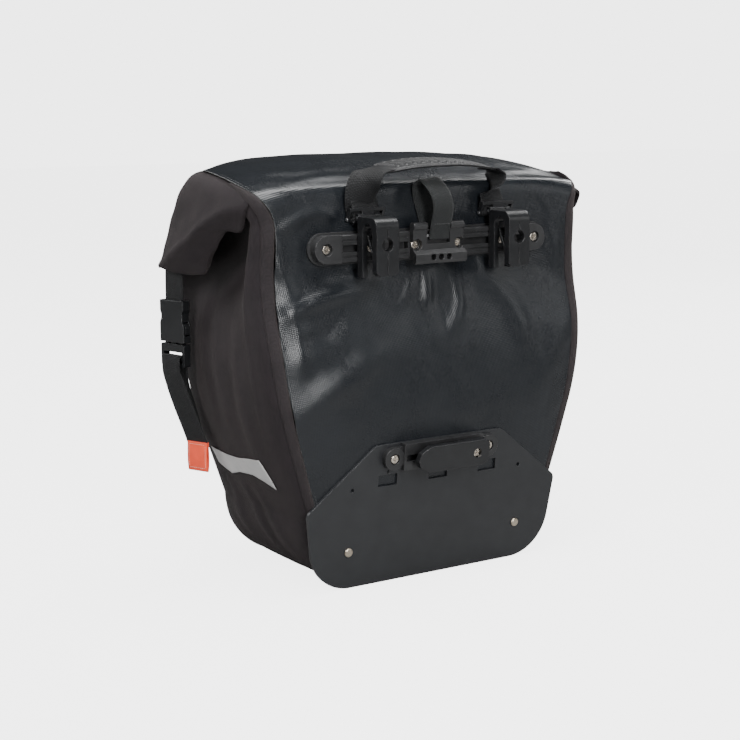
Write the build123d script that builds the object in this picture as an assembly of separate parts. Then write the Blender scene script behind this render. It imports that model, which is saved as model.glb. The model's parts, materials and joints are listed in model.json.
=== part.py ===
"""Roll-top pannier bag with a hook rail, a lower anchor hook and side straps.

Millimetres. +Z is up, +X is to the right seen from the rack side, and the rack side faces -Y.
The origin is the middle of the bounding box at the height of the lowest point.
"""
from build123d import *
import math
import os

# ---------------------------------------------------------------- driving dimensions
RACK_Y = -74.0            # plane of the rail's screw heads
RAIL_Z = 324.0            # height of the rail's centre line
BRACKET_S = 124.7         # height of the lower bracket, measured up the leaning plate
WALL = 2.5                # tarpaulin and gusset thickness, with their lining
SEAM_LEVELS = [(137, 89), (147, 126), (157, 162), (165, 204), (168.5, 244), (168, 294), (164, 378)]
SIDE_LEVELS = [(164, 112), (178, 149), (188, 198), (192, 247), (192, 300), (187, 378)]
SEAM_CORNER = 55.0        # bottom corner radius at the seams
SIDE_CORNER = 75.0        # bottom corner radius at the gussets' widest
SEAM_BOTTOM_HALF = 73.0
SIDE_BOTTOM_HALF = 75.0
GUSSET_CUT = 72.0         # the gussets meet the bottom panel here
BACK_SEAM_Y = -12.0       # where the body starts to widen, from RACK_Y
BACK_WIDE_Y = 24.0        # where it has its full width
FRONT_WIDE_Y = 146.0
FRONT_SEAM_Y = 182.0
BODY_TOP = 378.0

SCREW_SPACING = 240.0     # rail end screws
BLOCK_SCREW_SPACING = 48.6
BRACKET_SCREW_SPACING = 110.8
RIVET_SPACING = 198.4
RAIL_HALF = 104.0
RAIL_HEIGHT = 26.0
PAD_HALF = 136.0
SLOT_HEIGHT = 6.5
HOOK_X = 75.5             # hooks stand this far each side of the middle
HOOK_WIDTH = 24.5
TUBE_Y = -18.5            # centre of the rack tube's seat, from RACK_Y
TUBE_Z = 339.0
TUBE_R = 8.1              # seat radius for a 16 mm rack tube
HOOK_FRONT_Y = -34.0
HOOK_BACK_Y = -2.0
LEVER_PIVOT = (-1.0, 352.0)      # y from RACK_Y, z
LEVER_TIP = (-24.2, 306.0)
PULL_BAR = (5.5, 350.0)
PIN_R = 1.5
RUNNING_GAP = 0.05        # radial gap of pins in their holes
GRIP_HALF = 70.0
GRIP_TOP = 405.0
EAR_X = 219.0             # outer face of the hanging ends of the roll
ROLL_FRONT = 157.0
ROLL_BACK = 72.0
ROLL_LOW = 387.5
ROLL_HIGH = 404.5
WEB = 25.0                # side strap width
WEB_T = 1.6               # side strap thickness
STRAP_TWIST = 15.0        # the side straps face this many degrees towards the rack
BUCKLE_TOP = (205.0, 141.0, 270.0)
ANCHOR = (176.0, 152.0, 122.0)
TAIL_END = (192.0, 124.0, 130.0)
TAIL_OFFSET = 6.2         # the free tail hangs this far outside the buckle's middle plane

PLATE_PLANE = Plane(origin=(0, RACK_Y + 3.4, 0), x_dir=(1, 0, 0), z_dir=(0, -1, -0.1))
PLATE_T = 3.0

parts = {}


# ---------------------------------------------------------------- small helpers
def slab(x0, x1, y0, y1, z0, z1):
    """Box between two corners; y is measured from RACK_Y."""
    size = Box(x1 - x0, y1 - y0, z1 - z0)
    return Pos((x0 + x1) / 2, RACK_Y + (y0 + y1) / 2, (z0 + z1) / 2) * size


def rod_y(x, z, r, y0, y1):
    """Round bar along Y; y is measured from RACK_Y."""
    return Pos(x, RACK_Y + (y0 + y1) / 2, z) * Rot(90, 0, 0) * Cylinder(r, y1 - y0)


def rod_x(y, z, r, x0, x1):
    """Round bar along X; y is measured from RACK_Y."""
    return Pos((x0 + x1) / 2, RACK_Y + y, z) * Rot(0, 90, 0) * Cylinder(r, x1 - x0)


def yz_prism(outline, x0, x1):
    """Extrude a closed outline of (y, z) points along X; y is measured from RACK_Y."""
    points = [(RACK_Y + y, z) for y, z in outline]
    face = make_face(Polyline(*points, close=True))
    return Pos(x0, 0, 0) * extrude(Plane.YZ * face, x1 - x0)


def local_box(x0, x1, s0, s1, w0, w1):
    """Box on the leaning plate: x across, s up the plate, w out of it."""
    size = Box(x1 - x0, s1 - s0, w1 - w0)
    return PLATE_PLANE * Pos((x0 + x1) / 2, (s0 + s1) / 2, (w0 + w1) / 2) * size


def local_rod(x, s, r, w0, w1):
    """Round bar square to the leaning plate."""
    return PLATE_PLANE * Pos(x, s, (w0 + w1) / 2) * Cylinder(r, w1 - w0)


def mirrored(shape):
    return mirror(shape, Plane.YZ)


def group(shapes):
    return Compound(children=list(shapes))


def largest(shape):
    return shape.solids().sort_by(SortBy.VOLUME)[-1]


# ---------------------------------------------------------------- soft body
def body_outline(levels, corner, bottom_half, inset):
    """Front view of the bag: flat bottom, round lower corners, curved sides, flat top."""
    r = corner - inset
    low = inset
    top = BODY_TOP + (20 if inset else 0)
    side = [(x - inset, z) for x, z in levels]
    side[-1] = (side[-1][0], top)
    start = (bottom_half + r, low + r)
    right = Spline(start, *side, tangents=[(0, 1), (side[-1][0] - side[-2][0], top - side[-2][1])])
    arc = CenterArc((bottom_half, low + r), r, -90, 90)
    floor_line = Line((-bottom_half, low), (bottom_half, low))
    top_line = Line(side[-1], (-side[-1][0], top))
    left = mirror(right, Plane.YZ)
    left_arc = mirror(arc, Plane.YZ)
    return make_face(Curve() + [floor_line, arc, right, top_line, left, left_arc])


def section(levels, corner, bottom_half, inset, y):
    plane = Plane(origin=(0, RACK_Y + y, 0), x_dir=(1, 0, 0), z_dir=(0, -1, 0))
    return plane * body_outline(levels, corner, bottom_half, inset)


def body_form(inset):
    seam = (SEAM_LEVELS, SEAM_CORNER, SEAM_BOTTOM_HALF, inset)
    wide = (SIDE_LEVELS, SIDE_CORNER, SIDE_BOTTOM_HALF, inset)
    rows = [(seam, BACK_SEAM_Y), (wide, BACK_WIDE_Y), (wide, FRONT_WIDE_Y), (seam, FRONT_SEAM_Y)]
    spans = []
    for (shape_a, y_a), (shape_b, y_b) in zip(rows, rows[1:]):
        spans.append(loft([section(*shape_a, y_a), section(*shape_b, y_b)], ruled=True))
    return spans[0] + spans[1] + spans[2]


def seam_prism():
    face = section(SEAM_LEVELS, SEAM_CORNER, SEAM_BOTTOM_HALF, 0, -40)
    return extrude(face, -280)


def back_curve(shift):
    """Profile of the back panel: straight behind the plate, bulging, then flat at the rail."""
    foot = (RACK_Y + 6.7 + shift, 0)
    plate_top = (RACK_Y - 7.1 + shift, 138)
    rail_low = (RACK_Y + 10 + shift, 300)
    rise = Spline(plate_top, (RACK_Y - 8.6 + shift, 180), (RACK_Y - 4 + shift, 235), rail_low,
                  tangents=[(-0.1, 1), (0, 1)])
    return [Line(foot, plate_top), rise, Line(rail_low, (RACK_Y + 10 + shift, BODY_TOP))]


def front_curve(shift):
    """Profile of the front panel: bulging, then leaning in under the roll."""
    low = (RACK_Y + 168 + shift, 0)
    top = (RACK_Y + 150 + shift, 384)
    return [Spline(low, (RACK_Y + 181.3 + shift, 130), (RACK_Y + 179.5 + shift, 240),
                   (RACK_Y + 168 + shift, 330), top)]


def curved_sheet(curve, shift, thickness):
    """A sheet of even thickness that follows a (y, z) profile, long in X."""
    near = curve(shift)
    far = curve(shift + thickness)
    foot = Line(near[0] @ 0, far[0] @ 0)
    head = Line(near[-1] @ 1, far[-1] @ 1)
    face = make_face(Curve() + [*near, *far, foot, head])
    return extrude(Plane.YZ * face, 230, both=True)


def side_of(curve, outer_y, shift):
    """Everything between a profile and a far plane, used to trim the gussets."""
    near = curve(shift)
    foot = near[0] @ 0
    head = near[-1] @ 1
    far_foot = (outer_y, foot.Y)
    far_head = (outer_y, head.Y)
    face = make_face(Curve() + [*near, Line(foot, far_foot), Line(far_foot, far_head), Line(far_head, head)])
    return extrude(Plane.YZ * face, 260, both=True)


def make_body_panels():
    prism = seam_prism()
    back = curved_sheet(back_curve, 0, WALL) & prism
    front = curved_sheet(front_curve, -WALL, WALL) & prism
    strip = body_form(0) - body_form(WALL)
    strip = strip - side_of(back_curve, RACK_Y - 120, WALL) - side_of(front_curve, RACK_Y + 300, -WALL)
    strip = strip - slab(-260, 260, -120, 300, BODY_TOP, 500)
    strip = strip - slab(-260, 260, -120, BACK_SEAM_Y + 0.01, -10, 500)
    bottom = strip & slab(-GUSSET_CUT, GUSSET_CUT, -120, 300, -10, 60)
    right = strip & slab(GUSSET_CUT, 260, -120, 300, -10, 500)
    holes = [rod_y(x, z, r, -20, 30) for x, z, r in through_holes()]
    for hole in holes:
        back = back - hole
    parts["back_panel"] = back
    parts["front_panel"] = front
    parts["bottom_panel"] = bottom
    parts["right_gusset"] = right
    parts["left_gusset"] = mirrored(right)


def through_holes():
    """Screw and rivet holes of the back panel and the board: x, z and radius."""
    spots = [(s * SCREW_SPACING / 2, RAIL_Z, 2.6) for s in (-1, 1)]
    spots += [(s * BLOCK_SCREW_SPACING / 2, RAIL_Z, 2.6) for s in (-1, 1)]
    spots += [(s * BRACKET_SCREW_SPACING / 2, BRACKET_S - 0.4, 3.4) for s in (-1, 1)]
    spots += [(s * RIVET_SPACING / 2, 36.2, 3.4) for s in (-1, 1)]
    return spots


def make_back_board():
    """Stiff plastic board inside the back panel, which the rail and the plate are fixed through."""
    board = curved_sheet(back_curve, WALL + 0.2, 1.8)
    outline = extrude(Plane.XZ.offset(-250) * (Pos(0, 190) * RectangleRounded(270, 350, 40)), 500)
    taper = extrude(Plane.XZ.offset(-250) * make_face(Polyline(
        (-112, 0), (112, 0), (150, 230), (150, 372), (-150, 372), (-150, 230), close=True)), 500)
    board = board & outline & taper
    for x, z, r in through_holes():
        board = board - rod_y(x, z, r, -20, 40)
    parts["back_board"] = board


def make_roof_and_roll():
    """Sloping top, the flattened roll that closes the bag, and its hanging ends."""
    slope = [(10, 378.3), (40, 391), (71.7, 399), (71.7, 396.5), (40.5, 388.6), (13.2, 378.3)]
    parts["top_panel"] = yz_prism(slope, -186, 186)
    roll = slab(-187, 187, ROLL_BACK, ROLL_FRONT, ROLL_LOW, ROLL_HIGH)
    roll = fillet(roll.edges().filter_by(Axis.X), 7.5)
    pocket = slab(-187, 187, 86, 140, 394, 398)
    parts["closure_roll"] = roll - pocket
    parts["closure_stiffener"] = slab(-180, 180, 88, 138, 394.3, 396.3)
    path_out = [Line((187.2, ROLL_HIGH), (195, ROLL_HIGH)), Line((EAR_X, 380), (EAR_X, 300))]
    bend = RadiusArc((195, ROLL_HIGH), (EAR_X, 380), 26)
    low = Line((EAR_X, 300), (205.3, 300))
    inner_up = Line((205.3, 300), (205.3, 380))
    inner_bend = RadiusArc((205.3, 380), (193, 390), -12)
    close_top = Line((193, 390), (187.2, 390))
    end = Line((187.2, 390), (187.2, ROLL_HIGH))
    face = make_face(Curve() + [*path_out, bend, low, inner_up, inner_bend, close_top, end])
    ear = Pos(0, RACK_Y + 28, 0) * extrude(Plane.XZ * face, -132)
    cut = Plane.YZ.offset(150) * make_face(Polyline(
        (RACK_Y + 20, 290), (RACK_Y + 78, 290), (RACK_Y + 78, 302), (RACK_Y + 28, 366),
        (RACK_Y + 20, 366), close=True))
    ear = ear - extrude(cut, 100)
    parts["right_ear"] = ear
    parts["left_ear"] = mirrored(ear)


# ---------------------------------------------------------------- hook rail
def make_rail():
    half_h = RAIL_HEIGHT / 2
    pad = extrude(Plane.XZ * SlotOverall(2 * PAD_HALF, RAIL_HEIGHT + 4), -2.8)
    pad = Pos(0, RACK_Y + 7.1, RAIL_Z) * pad
    rail = slab(-RAIL_HALF, RAIL_HALF, -1, 7, RAIL_Z - half_h, RAIL_Z + half_h)
    rail = chamfer(rail.edges().filter_by(Axis.X).group_by(Axis.Y)[0], 1.2)
    for side in (-1, 1):
        near, far = sorted((side * 31, side * 103))
        slot_z = SLOT_HEIGHT / 2
        rail = rail - slab(near, far, -2, 2, RAIL_Z - slot_z, RAIL_Z + slot_z)
        rail = rail - slab(near, far, 1.5, 5.6, RAIL_Z - 6, RAIL_Z + 6)
        groove_low = slab(near, far, -2, -0.2, RAIL_Z - 8.6, RAIL_Z - 6.8)
        groove_high = slab(near, far, -2, -0.2, RAIL_Z + 6.8, RAIL_Z + 8.6)
        rail = rail - groove_low - groove_high
    cap = slab(RAIL_HALF + 0.1, SCREW_SPACING / 2, -1.6, 7, RAIL_Z - half_h, RAIL_Z + half_h)
    cap = cap + rod_y(SCREW_SPACING / 2, RAIL_Z, half_h, -1.6, 7)
    cap = cap - rod_y(SCREW_SPACING / 2, RAIL_Z, 5.6, -3, 1.5)
    cap = cap - rod_y(SCREW_SPACING / 2, RAIL_Z, 2.6, 0, 8)
    for x in (-1, 1):
        for spacing in (SCREW_SPACING, BLOCK_SCREW_SPACING):
            pad = pad - rod_y(x * spacing / 2, RAIL_Z, 2.6, 0, 12)
        rail = rail - rod_y(x * BLOCK_SCREW_SPACING / 2, RAIL_Z, 2.6, -3, 8)
    parts["rail_pad"] = pad
    parts["rail"] = rail
    parts["rail_end_caps"] = group([cap, mirrored(cap)])


def cross_screw(x, z, y_head):
    """Pan-head cross-recess screw along Y with its head towards the rack."""
    head = rod_y(x, z, 4.3, y_head - 1.7, y_head)
    head = fillet(head.edges().group_by(Axis.Y)[0], 0.9)
    shank = rod_y(x, z, 2.2, y_head, 20)
    cross = slab(x - 2.4, x + 2.4, y_head - 2, y_head - 0.8, z - 0.5, z + 0.5)
    cross = cross + slab(x - 0.5, x + 0.5, y_head - 2, y_head - 0.8, z - 2.4, z + 2.4)
    return head + shank - cross


def hex_nut(x, z, y0, y1, bore):
    nut = extrude(Plane.XZ * RegularPolygon(4.6, 6), -(y1 - y0))
    nut = Pos(x, RACK_Y + y0, z) * nut
    return nut - rod_y(x, z, bore, y0 - 1, y1 + 1)


def make_rail_fixings():
    spots = [s * SCREW_SPACING / 2 for s in (-1, 1)]
    block_spots = [s * BLOCK_SCREW_SPACING / 2 for s in (-1, 1)]
    screws = [cross_screw(x, RAIL_Z, 1.5) for x in spots]
    screws += [cross_screw(x, RAIL_Z, -1.1) for x in block_spots]
    nuts = [hex_nut(x, RAIL_Z, 14.6, 18.4, 2.2) for x in spots + block_spots]
    parts["rail_screws"] = group(screws)
    parts["rail_nuts"] = group(nuts)


def make_centre_block():
    """Block screwed over the middle of the rail, with the loop's slot and a grooved lip."""
    block = slab(-29, 29, -7, -1.1, 310, 340)
    bead = rod_x(-5, 341, 4, -29, 29)
    lip = yz_prism([(-6.9, 307), (-10, 306), (-12, 309), (-12, 315), (-6.9, 319)], -29, 30)
    block = block + bead + lip
    block = block - slab(-13.4, 13.4, -13, 0, 324.5, 350)
    for s in (-1, 1):
        x = s * BLOCK_SCREW_SPACING / 2
        block = block - rod_y(x, RAIL_Z, 5.4, -8, -1.15 - 1.4)
        block = block - rod_y(x, RAIL_Z, 5.4, -14, -7)
        block = block - rod_y(x, RAIL_Z, 4.5, -8, -1.1 + 0.02)
    for x in (-9, 0, 9):
        block = block - rod_y(x, 312, 3, -14, -4)
    loop_pin = rod_x(-2.6, 331.5, PIN_R, -17, 17)
    parts["centre_block"] = block - loop_pin
    parts["loop_pin"] = loop_pin
    loop_plane = Plane.YZ.offset(-WEB / 2)
    ring = Pos(RACK_Y - 0.6, 357) * (Ellipse(9, 31) - Ellipse(9 - WEB_T, 31 - WEB_T))
    loop = extrude(loop_plane * ring, WEB)
    rail_room = slab(-20, 20, -1.2, 9, 300, RAIL_Z + RAIL_HEIGHT / 2 + 0.2)
    parts["centre_loop"] = loop - rail_room


# ---------------------------------------------------------------- hooks
def hook_shape(x):
    """Inverted U over the rack tube, open at the bottom, with a slotted back leg."""
    half = HOOK_WIDTH / 2
    back_leg = slab(x - half, x + half, TUBE_Y + TUBE_R, HOOK_BACK_Y, 297, 353)
    front_leg = slab(x - half, x + half, HOOK_FRONT_Y, TUBE_Y - TUBE_R, 300.5, 353)
    front_leg = fillet(front_leg.edges().filter_by(Axis.Y).group_by(Axis.Z)[0], 5)
    arch = slab(x - half, x + half, TUBE_Y - TUBE_R - 1, TUBE_Y + TUBE_R + 1, TUBE_Z, 353)
    boss = rod_x(*LEVER_PIVOT, 3.6, x - half, x + half)
    hook = back_leg + front_leg + arch
    top_front = hook.edges().filter_by(Axis.X).group_by(Axis.Z)[-1].sort_by(Axis.Y)[0]
    hook = fillet(top_front, 9)
    hook = hook + boss
    hook = hook - rod_x(TUBE_Y, TUBE_Z, TUBE_R, x - half - 1, x + half + 1)
    hook = hook - slab(x - half - 1, x + half + 1, TUBE_Y - TUBE_R, TUBE_Y + TUBE_R, 290, TUBE_Z)
    hook = hook - slab(x - 7, x + 7, TUBE_Y + TUBE_R - 0.5, 8, 290, 358)
    web = slab(x - 7.5, x + 7.5, -3.8, HOOK_BACK_Y, 316, 324.5)
    web = web + slab(x - 3.9, x + 3.9, -3.8, HOOK_BACK_Y, 324, 332)
    tongue = slab(x - 9, x + 9, HOOK_BACK_Y - 0.2, 1.2, RAIL_Z - 3, RAIL_Z + 3)
    hook = hook + web + tongue
    hook = hook - rod_y(x, RAIL_Z, 2.1, -5, 3)
    hook = hook - rod_y(x, 328.6, 6, HOOK_FRONT_Y - 1, TUBE_Y - TUBE_R + 1)
    hook = hook - rod_x(*LEVER_PIVOT, PIN_R, x - half - 1, x + half + 1)
    crease = slab(x - 0.4, x + 0.4, HOOK_FRONT_Y - 0.1, HOOK_FRONT_Y + 0.6, 290, 343)
    return hook - crease


def lever_shape(x):
    """Sprung arm that closes the mouth of the hook, with a yoke for the pull bar behind it."""
    py, pz = LEVER_PIVOT
    ty, tz = LEVER_TIP
    length = math.hypot(ty - py, tz - pz)
    uy, uz = (ty - py) / length, (tz - pz) / length
    ny, nz = -uz, uy
    half_t = 1.2
    corners = []
    for along, side in ((0, 1), (length, 1), (length, -1), (0, -1)):
        corners.append((py + uy * along + ny * half_t * side, pz + uz * along + nz * half_t * side))
    arm = yz_prism(corners, x - 6.6, x + 6.6)
    barrel = rod_x(py, pz, 3, x - 6.6, x + 6.6)
    tip = rod_x(ty, tz, 2, x - 6.6, x + 6.6)
    window = slab(x - 4.3, x + 4.3, -30, 5, 314, 336)
    beam = slab(x - 19, x + 19, -1, 2.4, 357.6, 360.6)
    neck = slab(x - 6.6, x + 6.6, -1, 2.2, 352, 358)
    arm = arm - window + barrel + tip + neck + beam
    for s in (-1, 1):
        inner, outer = sorted((x + s * 16.2, x + s * 19))
        tab = yz_prism([(-1, 360.6), (2.4, 360.6), (8, 351), (7, 348), (4, 348), (-1, 357.6)], inner, outer)
        arm = arm + tab
    arm = arm - rod_x(py, pz, PIN_R + RUNNING_GAP, x - 20, x + 20)
    return arm - rod_x(*PULL_BAR, PIN_R, x - 20, x + 20)


def hook_screw(x):
    head = rod_y(x, RAIL_Z, 3.6, -5.6, -3.8)
    head = fillet(head.edges().group_by(Axis.Y)[0], 0.7)
    shank = rod_y(x, RAIL_Z, 2, -3.8, 5.0)
    cross = slab(x - 2, x + 2, -6, -4.7, RAIL_Z - 0.45, RAIL_Z + 0.45)
    cross = cross + slab(x - 0.45, x + 0.45, -6, -4.7, RAIL_Z - 2, RAIL_Z + 2)
    return head + shank - cross


def make_hooks():
    for name, x in (("left", -HOOK_X), ("right", HOOK_X)):
        parts[name + "_hook"] = hook_shape(x)
        parts[name + "_lock_lever"] = lever_shape(x)
        parts[name + "_lever_pin"] = rod_x(*LEVER_PIVOT, PIN_R, x - HOOK_WIDTH / 2, x + HOOK_WIDTH / 2)
        parts[name + "_pull_bar"] = rod_x(*PULL_BAR, PIN_R, x - 19.5, x + 19.5)
        parts[name + "_hook_screw"] = hook_screw(x)
        nut = slab(x - 8, x + 8, 1.75, 5.3, RAIL_Z - 5.6, RAIL_Z + 5.6)
        parts[name + "_slide_nut"] = nut - rod_y(x, RAIL_Z, 2, 0, 8)


# ---------------------------------------------------------------- handle
def grip_height(x):
    """Centre line of the arched grip."""
    return GRIP_TOP - 4.5 - 9 * (x / GRIP_HALF) ** 2


def make_grip():
    arc_low = ThreePointArc((-GRIP_HALF, 387.5), (0, 396.5), (GRIP_HALF, 387.5))
    arc_high = ThreePointArc((-GRIP_HALF, 395), (0, GRIP_TOP), (GRIP_HALF, 395))
    ends = [Line((-GRIP_HALF, 387.5), (-GRIP_HALF, 395)), Line((GRIP_HALF, 387.5), (GRIP_HALF, 395))]
    face = make_face(Curve() + [arc_low, arc_high, *ends])
    grip = Pos(0, RACK_Y - 14, 0) * extrude(Plane.XZ * face, -28)
    grip = fillet(grip.edges().filter_by(GeomType.CIRCLE), 2.6)
    count = 12
    for i in range(count):
        x = -GRIP_HALF + 12 + i * (2 * GRIP_HALF - 24) / (count - 1)
        groove = Pos(x, RACK_Y, grip_height(x) + 4.5) * Rot(0, 0, 62) * Box(19, 3.4, 4)
        grip = grip - groove
    for s in (-1, 1):
        inner, outer = sorted((s * 60, s * (GRIP_HALF + 1)))
        grip = grip - slab(inner, outer, -13.2, 13.2, 390.3, 392.9)
    parts["handle_grip"] = grip


def strap_section(x, y, z, width_dir, run_dir, width, thickness):
    plane = Plane(origin=(x, RACK_Y + y, z), x_dir=width_dir, z_dir=run_dir)
    return plane * Rectangle(width, thickness)


def make_handle_webbing():
    """Flat webbing from the pull bar up to the grip, turning a quarter round on the way."""
    rows = [
        (-HOOK_X, 5.5, 352.4, (1, 0, 0), (0, 0, 1), 30),
        (-HOOK_X - 0.5, 5.2, 362, (1, 0, 0), (0, 0, 1), 30),
        (-80, 0.4, 372, (0.87, -0.5, 0), (-0.15, 0, 1), 29),
        (-81, -2.0, 381, (0.5, -0.87, 0), (0.05, 0, 1), 27),
        (-77, 0.0, 388.6, (0, -1, 0), (0.7, 0, 0.7), 26),
        (-69.8, 0.0, 391.6, (0, -1, 0), (1, 0, 0.1), 26),
        (-61, 0.0, 391.6, (0, -1, 0), (1, 0, 0), 26),
    ]
    faces = []
    for x, y, z, width_dir, run_dir, width in rows:
        faces.append(strap_section(x, y, z, width_dir, run_dir, width, 1.8))
    strap = loft(faces, ruled=True)
    low, high = -HOOK_X - 15, -HOOK_X + 15
    strap = strap - rod_x(*PULL_BAR, 2.5, low - 1, high + 1)
    loop = rod_x(*PULL_BAR, 2.9, low, high) - rod_x(*PULL_BAR, PIN_R + 0.3, low - 1, high + 1)
    left = strap + loop
    parts["left_handle_webbing"] = left
    parts["right_handle_webbing"] = mirrored(left)


# ---------------------------------------------------------------- lower plate and anchor hook
def make_lower_plate():
    half_low, half_high, half_top = 135.5, 146.5, 73.5
    outline = Polyline((-half_low, 0), (half_low, 0), (half_high, 80.4), (half_top, 138.7),
                       (-half_top, 138.7), (-half_high, 80.4), close=True)
    face = make_face(outline)
    corners = face.vertices().group_by(Axis.Y)
    face = fillet(corners[0], 46)
    shoulders = face.vertices().filter_by(lambda v: abs(v.Y - 80.4) < 0.1)
    face = fillet(shoulders, 8)
    tops = face.vertices().group_by(Axis.Y)[-1]
    face = fillet(tops, 14)
    plate = PLATE_PLANE * Pos(0, 0, -PLATE_T) * extrude(face, PLATE_T)
    for x in (-58.6, 0, 58.6):
        plate = plate - local_box(x - 10.8, x + 10.8, 97.5, 108.5, -4, 1)
        plate = plate - local_box(x - 0.6, x + 0.6, 108, 111.5, -4, 1)
        plate = plate - local_rod(x, 111.5, 1.3, -4, 1)
    for s in (-1, 1):
        plate = plate - local_rod(s * 98.2, 97.8, 2, -4, 1)
        plate = plate - local_rod(s * RIVET_SPACING / 2, 36.4, 2.4, -4, 1)
        plate = plate - local_rod(s * BRACKET_SCREW_SPACING / 2, BRACKET_S, 2.6, -4, 1)
    parts["lower_plate"] = plate
    rivets = []
    for s in (-1, 1):
        x = s * RIVET_SPACING / 2
        dome = local_rod(x, 36.4, 4.4, 0, 1.8)
        dome = fillet(dome.edges().group_by(Axis.Y)[0], 1.4)
        rivets.append(dome + local_rod(x, 36.4, 2.4, -10.6, 0.1) + local_rod(x, 36.4, 5, -11.6, -10.5))
    parts["plate_rivets"] = group(rivets)


def make_lower_bracket():
    """Base with a T-slot along X, screwed through the plate, and the sliding anchor hook."""
    s0 = BRACKET_S
    base = local_box(-55.4, 55.4, s0 - 11, s0 + 11, 0, 3.5)
    for side in (-1, 1):
        base = base + local_rod(side * BRACKET_SCREW_SPACING / 2, s0, 11, 0, 6)
    base = base + local_box(-46, 46, s0 - 12, s0 + 14, 0, 8)
    base = base - local_box(-43, 44.5, s0 - 3.2, s0 + 3.2, 5, 9)
    base = base - local_box(-43, 44.5, s0 - 7, s0 + 7, 1.6, 5.6)
    for side in (-1, 1):
        x = side * BRACKET_SCREW_SPACING / 2
        base = base - local_rod(x, s0, 5.2, 4, 7)
        base = base - local_rod(x, s0, 2.6, -1, 5)
    parts["bracket_base"] = base
    screws = []
    nuts = []
    for side in (-1, 1):
        x = side * BRACKET_SCREW_SPACING / 2
        head = local_rod(x, s0, 4.3, 4, 5.8)
        head = fillet(head.edges().group_by(Axis.Y)[0], 0.9)
        cross = local_box(x - 2.4, x + 2.4, s0 - 0.5, s0 + 0.5, 4.9, 6.5)
        cross = cross + local_box(x - 0.5, x + 0.5, s0 - 2.4, s0 + 2.4, 4.9, 6.5)
        screws.append(head + local_rod(x, s0, 2.2, -13, 4.1) - cross)
        nut = PLATE_PLANE * Pos(x, s0, -12.2) * extrude(RegularPolygon(4.6, 6), 3.6)
        nuts.append(nut - local_rod(x, s0, 2.2, -14, -6))
    parts["bracket_screws"] = group(screws)
    parts["bracket_nuts"] = group(nuts)
    foot = local_box(14, 44, s0 - 9.5, s0 + 11, 8.3, 17)
    tongue = local_box(16, 42, s0 - 2.9, s0 + 2.9, 5.3, 8.4)
    arm_face = make_face(Polyline((-26, -12.5), (38, -12.5), (44, -8), (44, 9), (40, 13), (-26, 13),
                                  (-36, 7), (-39, 0), (-36, -7), close=True))
    arm = PLATE_PLANE * Pos(0, s0, 16) * extrude(arm_face, 6)
    arm = fillet(arm.edges().group_by(Axis.Y)[0], 1.5)
    hook = foot + arm + tongue
    hook = hook - local_rod(30, s0, 4.6, 17.5, 23) - local_rod(30, s0, 2, 4, 19)
    parts["lower_hook"] = hook
    head = local_rod(30, s0, 4.2, 17.5, 19.4)
    cross = local_box(27.6, 32.4, s0 - 0.5, s0 + 0.5, 18.5, 20)
    cross = cross + local_box(29.5, 30.5, s0 - 2.4, s0 + 2.4, 18.5, 20)
    parts["lower_hook_screw"] = head + local_rod(30, s0, 2, 2.0, 17.6) - cross
    nut = local_box(22, 38, s0 - 6.6, s0 + 6.6, 1.9, 5.0)
    parts["lower_hook_nut"] = nut - local_rod(30, s0, 2, 1, 6)


# ---------------------------------------------------------------- side straps and buckles
def strap_between(start, end, twist, width, thickness):
    """Straight flat strap; twist turns its width away from the Y axis, seen from above."""
    sx, sy, sz = start
    ex, ey, ez = end
    run = Vector(ex - sx, ey - sy, ez - sz)
    angle = math.radians(twist)
    across = Vector(math.sin(angle), math.cos(angle), 0)
    across = across - run * (across.dot(run) / run.dot(run))
    plane = Plane(origin=(sx, RACK_Y + sy, sz), x_dir=across, z_dir=run)
    return extrude(plane * Rectangle(width, thickness), run.length)


def buckle_place(shape):
    """From buckle axes (X across, Y out of the bag, Z up from the insert's foot) to the right side."""
    x, y, z = BUCKLE_TOP
    return Pos(x, RACK_Y + y, z - 64) * Rot(0, 0, -90 - STRAP_TWIST) * shape


def buckle_box(x0, x1, y0, y1, z0, z1):
    return Pos((x0 + x1) / 2, (y0 + y1) / 2, (z0 + z1) / 2) * Box(x1 - x0, y1 - y0, z1 - z0)


def socket_shape():
    outline = make_face(Polyline((-17, 24), (17, 24), (17, 40), (15, 45), (15, 52), (16.5, 55), (16.5, 64),
                                 (-16.5, 64), (-16.5, 55), (-15, 52), (-15, 45), (-17, 40), close=True))
    body = Pos(0, 5, 0) * extrude(Plane.XZ * outline, 10)
    body = fillet(body.edges().filter_by(Axis.Z), 1.2)
    body = body - buckle_box(-13.6, 13.6, -3.3, 3.3, 20, 50)
    body = body - buckle_box(-20, 20, -3.3, 3.3, 30, 44)
    body = body - buckle_box(-13.2, 13.2, -2.2, 2.2, 56.5, 60)
    return body - buckle_box(-13.2, 13.2, -6, 2.2, 58.4, 60)


def insert_shape():
    frame = buckle_box(-16.5, 16.5, -4, 4, 0, 22)
    frame = fillet(frame.edges().filter_by(Axis.Y), 2)
    frame = frame - buckle_box(-13.2, 13.2, -6, 6, 3.4, 7.4)
    frame = frame - buckle_box(-13.2, 13.2, -6, 6, 10.4, 14.4)
    prong = buckle_box(-3.2, 3.2, -2.4, 2.4, 21, 46)
    return frame + prong


def release_arm(side):
    outline = make_face(Polyline((8.2, 22.4), (12, 22.4), (12.6, 30.6), (17.2, 32), (17.6, 38), (15.4, 42),
                                 (11.4, 43.4), (8.6, 42), (9.6, 34), close=True))
    arm = Pos(0, 2.6, 0) * extrude(Plane.XZ * outline, 5.2)
    return arm if side > 0 else mirror(arm, Plane.YZ)


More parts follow.
